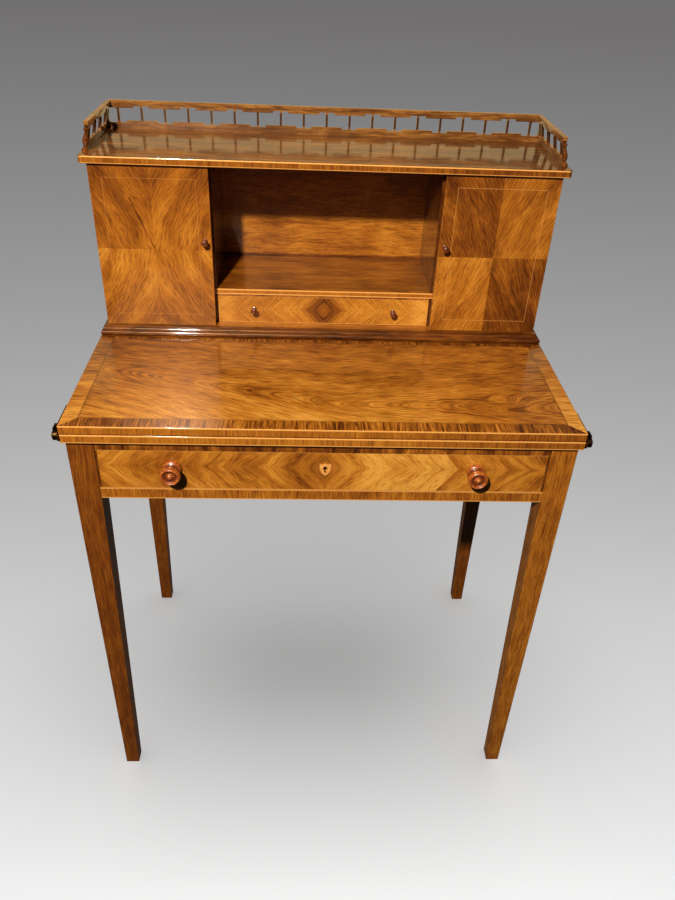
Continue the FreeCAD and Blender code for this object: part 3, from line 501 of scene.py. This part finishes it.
def banded_board(name, piece, layer, band=21.5, tone=0.0, band_tones=(0.0, 0.0, 0.0), edge_tone=-0.05,
                 strokes=0.4, rear_narrowing=1.0, arched=False, **figure):
    """A board with a band of this width round its field, and banded edges.

    band_tones are the lightness of the side bands, the front band and the rear band, which is
    narrower by rear_narrowing. strokes is the strength of the dark strokes across the band.
    """
    finish, half = board_finish(name, piece)
    deep_x, deep_y, deep_z = depths = inside_faces(finish, half)
    inward = (half[1] + finish.y).least((half[1] - finish.y) * rear_narrowing)
    margin = deep_x.least(inward)
    side = deep_x.below(inward)
    edge = deep_x.least(deep_y).below(deep_z)
    flat_face = 1.0 - edge
    banded = margin.below(band) * flat_face
    turned = banded * (1.0 - side)

    field = heart_arches(finish) if arched else finish.y
    band_across = choose(side, finish.x, finish.y)
    along = choose(edge, choose(turned, finish.x, finish.y), finish.z)
    across = choose(edge, choose(banded, field, band_across), finish.x + finish.y)
    sheet = banded * 2.3 + side * banded * 1.4 + edge * 5.1
    light, pores = grain(finish, along, across, sheet + layer, tone, band=11.0, lines=0.26,
                         pore=(24.0, 2.0), **figure)
    light = light - edge * (light - plain_light - tone) * 0.5

    side_tone, front_tone, rear_tone = band_tones
    rear = 1.0 - finish.y.below(0.0)
    band_tone = choose(side, rear * (rear_tone - front_tone) + front_tone, side_tone)
    stroke = finish.noise(along / 60, across / 4, layer + 2.2, 4, 0.7).rise(0.44, 0.64) * strokes
    light = light + banded * band_tone + edge * edge_tone
    # Painted shade: each board darkens towards its right end, where the lamp on the left lights it less.
    light = light - stroke * (turned + edge * 0.3) - finish.x.rise(40, 330) * 0.15
    # On the leaf a painted glow brightens the front, standing in for the lamp's reflection in the polish.
    if arched:
        light = painted_leaf_glow(finish, light, banded * side, turned, flat_face)

    seam = (1.0 - abs(margin - band - 0.8).rise(0.4, 2.0)) * flat_face
    upper = (half[2] - finish.z).below(2.2) * edge
    lower = (half[2] + finish.z).below(1.7) * edge
    # Painted shade: on the leaf the lowest strip of the edge is darkened as the shade of the gap above the
    # fixed top; the other boards carry a pale string there.
    under_line = (lower * 0.7, joint_colour) if arched else (lower * 0.9, edge_string_colour)
    lines = ((seam * 0.4, joint_colour), (upper * 0.9, edge_string_colour), under_line)
    polish_wood(finish, light, pores, lines=lines, wear_and_highlight=arris_wear_and_highlight(finish, depths))
    dress(finish, piece)
    return half


# The leaf's rear band is darker than its front band, partly as a darker veneer and partly as painted shade
# under the moulding.
leaf_half = banded_board("leaf_veneer", "fold_leaf", 0.0, tone=0.06, band_tones=(0.1, -0.07, -0.12),
                         edge_tone=-0.04, rear_narrowing=2.2, arched=True, figure=1.1, streak=1.3,
                         hair=(24.0, 1.5), strokes=0.32)
banded_board("fixed_top_veneer", "table_top", 3.0, edge_tone=0.06)
banded_board("cabinet_top_veneer", "cabinet_top", 6.0, band=0.0, tone=-0.28, edge_tone=0.19, strokes=0.25,
             figure=1.3, streak=1.5)
banded_board("shelf_veneer", "centre_shelf", 9.0, band=0.0, tone=-0.16, edge_tone=0.2, strokes=0.1)
print("leaf is", 2 * leaf_half[0], "by", 2 * leaf_half[1], "mm")

# %% [markdown]
# ## Quartered doors
# Each door front is laid in four sheets from one log, opened like the pages of a book, so that
# the figure fans out from the middle. Taking the size of a distance without its sign mirrors a
# pattern for nothing: both halves read the same place in the log. A pale string is let in round
# the front, and some sheets shine dark and others light, as the grain turns.

# %% The two doors
boxwood_colour = shade(206, 146, 74)
fine_hair = (18.0, 1.2)


def quartered_door(name, piece, layer, sheet_tones, string_at=19.0, string_share=0.4, flare=0.0, **figure):
    """Four mirrored sheets with a string let in at string_at from the edge.

    sheet_tones are the lightness of the upper left, upper right, lower left and lower right sheets.
    Up to the height flare, a wedge by the middle of the upper left sheet is darker.
    """
    finish, half = board_finish(name, piece)
    depths = inside_faces(finish, half)
    out, up = abs(finish.x), abs(finish.z)
    right, low = 1.0 - finish.x.below(0.0), finish.z.below(0.0)
    lean_out, lean_up = 0.42, 0.91
    along = out * lean_out + up * lean_up
    across = out * lean_up - up * lean_out
    upper = right * (sheet_tones[1] - sheet_tones[0]) + sheet_tones[0]
    lower = right * (sheet_tones[3] - sheet_tones[2]) + sheet_tones[2]
    tone = choose(low, upper, lower) + (0.08 - along * 0.0012)
    sheet = right * 0.12 + low * 0.2
    light, pores = grain(finish, along, across, sheet + layer, band=26.0, sway=18.0, **figure)

    wedge = up.below(flare) * (1.0 - right) * (1.0 - low)
    from_wedge = out - up * 0.4
    tone = tone - wedge * (from_wedge.below(0.0) * 0.06 + abs(from_wedge).below(1.3) * 0.2)
    front = (finish.y + half[1]).below(0.6)
    inset = (half[0] - out).least(half[2] - up)
    string = abs(inset - string_at).below(0.55) * front
    joint = out.least(up).below(0.2) * front
    lines = ((joint * 0.45, joint_colour), (string * string_share, boxwood_colour))
    polish_wood(finish, light + tone, pores, lines=lines, wear_and_highlight=arris_wear_and_highlight(finish, depths))
    dress(finish, piece)
    return half


door_half = quartered_door("left_door_veneer", "door_left", 20.0, (-0.09, -0.04, 0.05, 0.0),
                           string_share=0.22, flare=78.0, figure=1.1, streak=0.75, hair=fine_hair)
quartered_door("right_door_veneer", "door_right", 27.0, (-0.2, 0.0, 0.08, -0.24),
               figure=1.1, streak=0.85, hair=fine_hair)
print("door is", 2 * door_half[0], "by", 2 * door_half[2], "mm")

# %% [markdown]
# ## Herringbone drawer fronts
# Both drawer fronts are laid in slanting sheets that meet in arrows. Again the distances lose their
# signs: adding the distance from the middle upright to the distance from the middle line gives bands
# in the form of arrows. Along its top the large front has a strip laid across the grain, darkened as
# painted shade under the top, with a pale string under it, and the rail below the drawer is banded
# the same way. The small front has a narrow strip of the same kind, and painted shade darkens strips
# at the ends of the large front, beside the legs.


# %% Drawer fronts and front rail
def herringbone(name, piece, layer, frame_top, reveal_shade_width, tone=0.0, turn_at=None, **figure):
    """Arrows about the middle, under a crossband strip of height frame_top, with painted shade of width
    reveal_shade_width at the ends.

    Beyond turn_at the arrows belong to the next sheet. Without it a darker diamond marks the middle.
    """
    finish, half = board_finish(name, piece)
    depths = inside_faces(finish, half)
    out, up = abs(finish.x), abs(finish.z)
    slant_share = 0.71
    along, across = (up - out) * slant_share, (up + out) * slant_share
    front = (finish.y + half[1]).below(0.8)
    if turn_at is None:
        diamond = 1.0 - (out + up).rise(16, 46)
        shine = out.rise(0.0, half[0]) * 0.22 + finish.x.rise(40, 130) * 0.14 - diamond * 0.16 - 0.09
    else:
        beyond = 1.0 - (finish.x + up * 0.75).below(turn_at)
        shine = finish.x.rise(-40, 60) * 0.34 - beyond * 0.28
        layer = beyond * 4.0 + layer

    from_top = half[2] - finish.z
    top_strip = from_top.below(frame_top)
    crossband_and_shade = top_strip.most((half[0] - out).below(reveal_shade_width)) * front
    along = choose(crossband_and_shade, along, finish.z)
    across = choose(crossband_and_shade, across, finish.x)
    light, pores = grain(finish, along, across, crossband_and_shade * 3.3 + layer, tone, **figure)
    # Painted shade: the strips are darkened, the end strips more than the top strip.
    light = light + shine * (1.0 - crossband_and_shade) - crossband_and_shade * (0.5 - top_strip * 0.22)
    top_string = abs(from_top - frame_top).below(0.6) * 0.5
    string = top_string.most((finish.z + half[2]).below(1.5)) * front
    middle = out.least(up).below(0.2) * front
    lines = ((middle * 0.35, joint_colour), (string * 0.7, boxwood_colour))
    polish_wood(finish, light, pores, lines=lines, wear_and_highlight=arris_wear_and_highlight(finish, depths))
    dress(finish, piece)


def crossed_rail(name, piece, layer):
    """A rail whose face is banded upright between two pale lines."""
    finish, half = board_finish(name, piece)
    depths = inside_faces(finish, half)
    light, pores = grain(finish, finish.z, finish.x + finish.y, layer, -0.06, band=8.0, streak=1.0)
    pale = depths[2].below(1.5) * (finish.y + half[1]).below(0.8)
    polish_wood(finish, light, pores, lines=((pale, boxwood_colour),), wear_and_highlight=arris_wear_and_highlight(finish, depths))
    dress(finish, piece)


herringbone("frieze_veneer", "drawer_front", 40.0, frame_top=14.0, reveal_shade_width=2.2, tone=0.05, turn_at=187.0,
            figure=1.7, lines=0.28, sway=16.0, streak=0.85, hair=fine_hair)
herringbone("small_front_veneer", "small_drawer_front", 48.6, frame_top=2.6, reveal_shade_width=0.0, tone=0.09,
            figure=1.3, lines=0.24, streak=0.75, hair=fine_hair)
crossed_rail("front_rail_banding", "front_rail", 52.0)
print("veneered pieces:", len(dressed))

# %% [markdown]
# ## Solid wood
# Legs, rails, sides and the gallery are solid. In a solid stick the rings run right through, so the
# pattern is a function of all three directions: along the grain it hardly changes, and across it
# the two other distances add up. One finish for each grain direction is enough, because pieces
# that stand apart read different places in the pattern. The gallery's spindles are darker, and
# painted shade darkens the corner behind the shelf.


# %% A finish for solid wood
def grain_ways(finish, axis):
    """The distance along the grain, then the two distances across it."""
    ways = {"x": finish.x, "y": finish.y, "z": finish.z}
    return ways.pop(axis), *ways.values()


def solid_wood(name, grain_axis, layer, tone, pieces, tones=gold_tones, gloss=0.09, spindles=None,
               shaded_corner=None, **figure):
    """Straight grain along one axis.

    spindles is a stretch of heights that is darker. shaded_corner is the reach to each side, the face
    and the level of a shelf's corner, where painted shade darkens the wood.
    """
    finish = Finish(name, **{**polish, "Coat_Roughness": gloss})
    darker_tone = -0.4
    if spindles is not None:
        bottom, top = spindles
        between = finish.z.rise(bottom - 2, bottom) * finish.z.rise(top + 2, top)
        tone = between * darker_tone + tone
    # Painted shade in the corner where the shelf meets the back.
    if shaded_corner is not None:
        reach, face, level = shaded_corner
        in_recess = finish.y.below(face) * abs(finish.x).below(reach)
        tone = (1.0 - abs(finish.z - level).rise(2.0, 9.0)) * in_recess * darker_tone + tone
    along, first, second = grain_ways(finish, grain_axis)
    light, pores = grain(finish, along, first * 0.9 + second * 0.6, layer, tone, **figure)
    polish_wood(finish, light, pores, tones=tones)
    dress(finish, *pieces)


print("solid wood ready")

# %% [markdown]
# ## The stand and the case
# The legs are straight-grained sticks with quiet figure, three of them dark and the right front one
# lighter and livelier. The case is made of planks: its sides and partitions stand with their grain
# upright, and the grain of its back and bottom runs from side to side.

# %% Legs, rails and case
straight = {"band": 9.0, "sway": 3.0, "figure": 0.42, "lines": 0.08, "streak": 0.55}
lively = {**straight, "figure": 0.8, "lines": 0.14, "streak": 0.9}
dark_legs = ("leg_front_left", "leg_rear_left", "leg_rear_right")
solid_wood("dark_leg_wood", "z", 60.0, -0.24, dark_legs, **straight)
solid_wood("light_leg_wood", "z", 61.0, -0.02, ("leg_front_right",), **lively)
solid_wood("side_rail_wood", "y", 63.0, -0.1, ("side_rail_left", "side_rail_right"))
solid_wood("back_rail_wood", "x", 65.0, -0.1, ("back_rail",))
solid_wood("case_side_wood", "z", 67.0, -0.02, ("cabinet_side_left", "cabinet_side_right"))
# Painted shade: the partitions stand in the shade of the recess, so their wood is a much darker copy of the
# sides'.
solid_wood("partition_wood", "z", 68.0, -0.42, ("partition_left", "partition_right"))
shelf_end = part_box("centre_shelf")[1] * mm_per_metre
back_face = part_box("cabinet_back")[0].y * mm_per_metre
shelf_corner = (shelf_end.x, back_face + 1, shelf_end.z)
solid_wood("case_long_wood", "x", 69.0, 0.0, ("cabinet_back", "cabinet_bottom"), shaded_corner=shelf_corner)
print("stand and case dressed, pieces so far:", len(dressed))

# %% [markdown]
# ## Moulding and gallery
# The bead under the cabinet is rubbed to a dark shine. The gallery's rails are a paler wood and its
# turned posts dark. Narrow growth bands keep the figure in scale with such small pieces.

# %% Moulding and gallery
rail_tones = (
    (0.0, shade(58, 30, 11)), (0.25, shade(102, 60, 24)), (0.5, shade(150, 99, 44)),
    (0.75, shade(186, 136, 72)), (1.0, shade(214, 172, 110)),
)
bead = {"gloss": 0.05, "band": 6.0}
solid_wood("moulding_wood", "x", 72.0, -0.36, ("base_moulding_front",), **bead)
solid_wood("moulding_side_wood", "y", 73.0, -0.36, ("base_moulding_sides",), **bead)
gallery_frets = ("gallery_fret_back", "gallery_fret_left", "gallery_fret_right")
spindle_heights = (1041, 1057)
solid_wood("fret_wood", "x", 75.0, -0.2, gallery_frets, tones=rail_tones, spindles=spindle_heights, band=5.0)
solid_wood("cap_wood", "x", 76.0, -0.12, ("gallery_cap_rails",), tones=rail_tones, band=5.0)
solid_wood("post_wood", "z", 77.0, -0.3, ("gallery_posts",), gloss=0.04, band=5.0)
print("solid pieces dressed, pieces so far:", len(dressed))

# %% [markdown]
# ## Inside woods
# Runners, drawer linings and the plinth were never polished. They are a paler, plainer wood with a
# dry wax, so the coat is left off and the roughness is high, and dust clouds them.

# %% Drawer linings, runners, plinth
lining_tones = ((0.0, shade(104, 71, 39)), (0.5, shade(153, 113, 69)), (1.0, shade(186, 151, 104)))


def lining_wood(name, grain_axis, layer, pieces, cloud=60):
    """Dry wood with its grain along one axis, under dust in clouds of this size in mm."""
    finish = Finish(name, Specular_IOR_Level=0.3)
    along, first, second = grain_ways(finish, grain_axis)
    light, pores = grain(finish, along, first + second * 0.7, layer, band=12.0)
    dust = finish.noise(finish.x / cloud, finish.y / cloud, finish.z / cloud, 4)
    polish_wood(finish, light + (dust - 0.5) * 0.4, pores, tones=lining_tones)
    finish.give("Roughness", dust * 0.3 + 0.45)
    dress(finish, *pieces)


lining_wood("lining_deep", "y", 80.0, ("drawer_sides", "small_drawer_sides", "drawer_runners"))
backs_and_bottoms = ("drawer_back", "small_drawer_back", "drawer_bottom", "small_drawer_bottom")
lining_wood("lining_wide", "x", 83.0, backs_and_bottoms)
lining_wood("lining_frame", "x", 86.0, ("plinth_frame", "drawer_stops"))
print("dressed so far:", len(dressed))

# %% [markdown]
# ## Turned knobs
# Two large knobs pull the drawer and four small ones the small drawer and the doors, all turned on a
# lathe. A lathe piece is a profile swung round an axis, so it is a function of two parameters, the
# angle and the place along the profile. The profile points are shares of the knob's radius and of
# its reach, joined by smooth cubic spans, so few of them are enough.


# %% Lathe work
def smooth_line(points, steps):
    """Cubic spans through the points: each span's end slopes follow the points before and after it."""
    line = np.array(points, float)
    line = np.vstack([2 * line[0] - line[1], line, 2 * line[-1] - line[-2]])
    a, b, c, d = (line[i:len(line) - 3 + i, None] for i in range(4))
    t = np.linspace(0, 1, steps, endpoint=False)[None, :, None]
    spans = b + 0.5 * ((c - a) * t + (2 * a - 5 * b + 4 * c - d) * t**2 + (3 * b - a - 3 * c + d) * t**3)
    return np.vstack([spans.reshape(-1, 2), line[-2]])


def turned_knobs(name, profile_shares, feet, radius, reach, around=72, span_steps=6):
    """Knobs that stand out from a front, one on each foot.

    The point at an angle and a place on the profile is the foot plus the profile's radius times the
    cosine of the angle in x and its sine in z, and lies the profile's height in front of the foot.
    """
    line = np.vstack([(0, 0), smooth_line(profile_shares, span_steps)]) * (radius, reach)
    line[-1, 0] = 0
    angle = np.linspace(0, 2 * np.pi, around, endpoint=False)
    r, h = line[:, :1], line[:, 1:]
    ring = np.stack([r * np.cos(angle), -h + 0 * angle, r * np.sin(angle)], -1)
    points = (ring[None] + np.array(feet)[:, None, None]).reshape(-1, 3)
    number = np.arange(len(points)).reshape(len(feet), len(line), around)
    beside = np.roll(number, -1, axis=2)
    quads = np.stack([number[:, :-1], number[:, 1:], beside[:, 1:], beside[:, :-1]], -1).reshape(-1, 4)
    mesh = bpy.data.meshes.new(name)
    mesh.from_pydata(points, [], quads)
    return close_poles(add_piece(name, mesh))


def close_poles(piece):
    """Merge the points that meet on the axis, and smooth the surface."""
    weld = piece.modifiers.new("weld", "WELD")
    weld.merge_threshold = 0.000002
    bpy.context.view_layer.update()
    welded = bpy.data.meshes.new_from_object(piece.evaluated_get(bpy.context.evaluated_depsgraph_get()))
    piece.modifiers.clear()
    piece.data = welded
    welded.shade_smooth()
    return piece


knob_shares = (
    (0.84, 0.0), (0.9, 0.04), (0.92, 0.11), (0.9, 0.19), (0.8, 0.25), (0.68, 0.3), (0.62, 0.38),
    (0.64, 0.47), (0.76, 0.55), (0.92, 0.62), (1.0, 0.7), (1.0, 0.78), (0.97, 0.86), (0.9, 0.93),
    (0.82, 0.95), (0.75, 0.92), (0.69, 0.85), (0.58, 0.82), (0.44, 0.82), (0.33, 0.83), (0.27, 0.87),
    (0.22, 0.94), (0.12, 0.985), (0.0, 1.0),
)
pull_shares = (
    (0.72, 0.0), (0.72, 0.1), (0.5, 0.17), (0.42, 0.32), (0.48, 0.44), (0.78, 0.53), (0.96, 0.64),
    (1.0, 0.74), (0.93, 0.86), (0.74, 0.94), (0.44, 0.985), (0.0, 1.0),
)
print("profile points of a knob and a pull:", len(knob_shares), len(pull_shares))

# %% [markdown]
# ## Knob finish and places
# A turned knob shows end grain on its face and side grain round it, so its rings are noise drawn out
# along its axis. Painted shade darkens the waist, and the dish of the large knobs, while the round
# parts keep the plain colour. Each knob takes its size and place from the solid that it stands for.


# %% Knobs in their places
def knob_feet(knobs, front):
    """Foot points, radius and reach of a node's knobs, from its box and the front that carries them."""
    low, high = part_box(knobs)
    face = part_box(front)[0].y
    radius = (high.z - low.z) / 2
    columns = sorted({round(low.x + radius, 6), round(high.x - radius, 6)})
    return [(x, face, (low.z + high.z) / 2) for x in columns], radius, face - low.y


def knob_finish(name, tones, feet, radius, reach, shaded_dish=0.0):
    """Grain of a turned knob, with short dark specks and painted shade in its waist and dish."""
    (foot_x, face, foot_z), *_ = feet
    finish = Finish(name, (0.0, face, foot_z), Coat_Weight=1.0, Coat_Roughness=0.05, Coat_IOR=1.5)
    rings = finish.noise(finish.x / 5, finish.y / 30, finish.z / 1.6, 3)
    specks = finish.noise(finish.x / 0.6, finish.y / 6, finish.z / 0.6, 1).rise(0.58, 0.7)
    aside = abs(finish.x) - abs(foot_x) * mm_per_metre
    from_axis = (aside * aside + finish.z * finish.z).work("SQRT") / (radius * mm_per_metre)
    out = finish.y / (-mm_per_metre * reach)
    # Painted shade in the knob's waist and, for the large knobs, in its dish.
    waist_at, dish_at, shade_share = 0.37, 0.52, 0.75
    waist_shade = 1.0 - abs(out - waist_at).rise(0.06, 0.16)
    dish_shade = (1.0 - abs(from_axis - dish_at).rise(0.1, 0.22)) * out.rise(0.7, 0.8) * shaded_dish
    colour = finish.mix(specks * 0.4, finish.toned(rings, tones), shade(50, 18, 8))
    finish.give("Base Color", finish.mix(waist_shade.most(dish_shade) * shade_share, colour, shade(62, 18, 5)))
    finish.give("Roughness", rings * 0.25 + 0.25)
    finish.relief(specks, depth=-0.05)
    return finish.material


knob_tones = ((0.25, shade(100, 38, 10)), (0.5, shade(156, 76, 24)), (0.75, shade(194, 112, 46)))
pull_tones = ((0.25, shade(58, 20, 6)), (0.5, shade(94, 38, 12)), (0.75, shade(134, 66, 26)))
knob_kind, pull_kind = (knob_shares, knob_tones, 1.0), (pull_shares, pull_tones, 0.0)
knob_pieces = (
    ("frieze_knobs", "drawer_knobs", "drawer_front", "frieze_drawer", knob_kind),
    ("small_drawer_pulls", "small_drawer_knobs", "small_drawer_front", "small_drawer", pull_kind),
    ("left_door_pull", "door_knob_left", "door_left", "left_door", pull_kind),
    ("right_door_pull", "door_knob_right", "door_right", "right_door", pull_kind),
)
for name, node, front, body, (profile_shares, tones, shaded_dish) in knob_pieces:
    places = knob_feet(node, front)
    knobs = turned_knobs(name, profile_shares, *places)
    knobs.data.materials.append(knob_finish(name + "_wood", tones, *places, shaded_dish))
    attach(knobs, body)
    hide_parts(node)
    dressed.add(node)
    print(name, len(knobs.data.polygons), "faces")

# %% [markdown]
# ## Brass, steel and boxwood
# Hinges, screws, catches and the lock's case are brass gone brown with age, brighter and smoother in
# worn patches. The lock's bolt is steel, brushed along its way. The shield round the keyhole is pale
# boxwood let into the drawer front, and what lies behind its face is painted dark as the shade inside
# the keyhole. Each is one noise that drives colour and roughness together, because on metal a stain
# changes both.

# %% Small fittings
brass = Finish("aged_brass", Metallic=1.0)
stain = brass.noise(brass.x / 7, brass.y / 7, brass.z / 7, 5, 0.6)
brass_tones = ((0.3, shade(30, 20, 11)), (0.5, shade(54, 38, 20)), (0.7, shade(106, 78, 42)))
brass.give("Base Color", brass.toned(stain, brass_tones))
brass.give("Roughness", 0.75 - stain * 0.6)
brass.relief(stain, depth=0.05, strength=0.3)
brass_pieces = [name for name in desk if "hinge" in name] + ["door_catches", "lock_case"]
dress(brass, *brass_pieces)

steel = Finish("bolt_steel", Metallic=1.0)
brushed = steel.noise(steel.x / 0.4, steel.y / 0.4, steel.z / 12, 3)
steel.give("Base Color", steel.toned(brushed, ((0.3, shade(120, 118, 112)), (0.7, shade(190, 188, 182)))))
steel.give("Roughness", brushed * 0.3 + 0.2)
dress(steel, "lock_bolt")

shield = Finish("shield_boxwood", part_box("escutcheon")[0], Coat_Weight=0.5, Coat_Roughness=0.12)
fleck = shield.noise(shield.x / 1.2, shield.y / 4, shield.z / 6, 4)
shield_colour = shield.toned(fleck, ((0.3, shade(188, 118, 48)), (0.6, shade(224, 160, 84))))
# Painted shade: what lies behind the shield's face, in the keyhole, is dark.
keyhole_shade = shield.y.rise(0.2, 0.7)
shield.give("Base Color", shield.mix(keyhole_shade, shield_colour, shade(24, 12, 6)))
shield.give("Roughness", fleck * 0.3 + 0.25)
dress(shield, "escutcheon")
print("brass pieces:", len(brass_pieces))

# %% [markdown]
# ## Tooled leather
# When the leaf is open, both writing surfaces show a green leather whose border carries two gilt
# lines, pressed in with a hot wheel. The lines could be cut into the mesh, but they are hardly a
# tenth of a millimetre deep, so the finish draws them and the sheet only sinks a little along them.


# %% Leather finish
def leather_finish(name, node):
    """Pebbled leather with two gilt lines along its border."""
    low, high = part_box(node)
    finish = Finish(name, (low + high) / 2, Specular_IOR_Level=0.4)
    deep_x, deep_y, _ = inside_faces(finish, half_sizes(low, high))
    margin = deep_x.least(deep_y)
    pebble = finish.noise(finish.x / 1.1, finish.y / 1.1, finish.z, 3, 0.6)
    cloud = finish.noise(finish.x / 70, finish.y / 70, finish.z, 3)
    hide_tones = ((0.3, shade(40, 56, 30)), (0.7, shade(76, 92, 52)))
    hide = finish.toned(cloud * 0.7 + pebble * 0.3, hide_tones)
    broad_line, thin_line = abs(margin - 9).below(0.8), abs(margin - 14).below(0.35)
    gilt = broad_line.most(thin_line)
    finish.give("Base Color", finish.mix(gilt * 0.85, hide, shade(196, 152, 74)))
    finish.give("Metallic", gilt * 0.6)
    finish.give("Roughness", pebble * 0.3 + 0.38)
    finish.relief(pebble - gilt * 0.3, depth=0.15)
    return finish.material


print("leather ready")

# %% [markdown]
# ## The two leathers
# Each leather is glued flat into a recess of its board. A flat sheet is a grid whose height is a
# function of two parameters. The grid lines stand close where the surface bends, at the rim and
# along the border, and far apart in the plain middle. A Solidify modifier gives the thickness.


# %% Lay the leathers
def leather_sheet(name, node, facing):
    """A sheet that looks up (facing 1) or down (facing -1), with the outline of its solid.

    The point at u and v lies at x = u, y = v and the height of the face less a sink. The sink is a
    fall at the rim that fades within a few mm, plus a groove in the form of a bell along the border.
    """
    low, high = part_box(node)
    rim = np.array((0, 0.4, 0.8, 1.5, 3, 6, 8, 9, 10, 11, 13, 14, 15, 18)) / mm_per_metre
    plain_from, plain_lines = 0.022, 60

    def grid_lines(start, end):
        """Places of the grid lines from one rim to the other."""
        plain = np.linspace(start + plain_from, end - plain_from, plain_lines)
        return np.r_[start + rim, plain, end - rim[::-1]]

    u, v = np.meshgrid(grid_lines(low.x, high.x), grid_lines(low.y, high.y))
    margin = np.minimum(np.minimum(u - low.x, high.x - u), np.minimum(v - low.y, high.y - v))
    rim_fall, rim_width = 0.0004, 0.001
    groove_depth, groove_at, groove_width = 0.0001, 0.0115, 0.004
    groove = np.exp(-(((margin - groove_at) / groove_width) ** 2))
    sink = rim_fall * np.exp(-margin / rim_width) + groove_depth * groove
    face = high.z if facing > 0 else low.z
    points = np.stack([u, v, face - facing * sink], -1).reshape(-1, 3)
    number = np.arange(u.size).reshape(u.shape)
    corners = (number[:-1, :-1], number[:-1, 1:], number[1:, 1:], number[1:, :-1])[::facing]
    mesh = bpy.data.meshes.new(name)
    mesh.from_pydata(points, [], np.stack(corners, -1).reshape(-1, 4))
    mesh.shade_smooth()
    sheet = add_piece(name, mesh)
    thickness = sheet.modifiers.new("thickness", "SOLIDIFY")
    thickness.thickness = 0.0008
    return sheet


for name, node, facing, board, body in (
    ("fixed_lining", "fixed_leather", 1, "table_top", "carcase"),
    ("leaf_lining", "leaf_leather", -1, "fold_leaf", "writing_leaf"),
):
    lining = leather_sheet(name, node, facing)
    lining.data.materials.append(leather_finish(name + "_leather", node))
    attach(lining, body)
    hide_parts(node)
    dressed.add(node)
    print(name, len(lining.data.polygons), "faces")
print("pieces without a finish:", sorted(set(desk) - dressed))
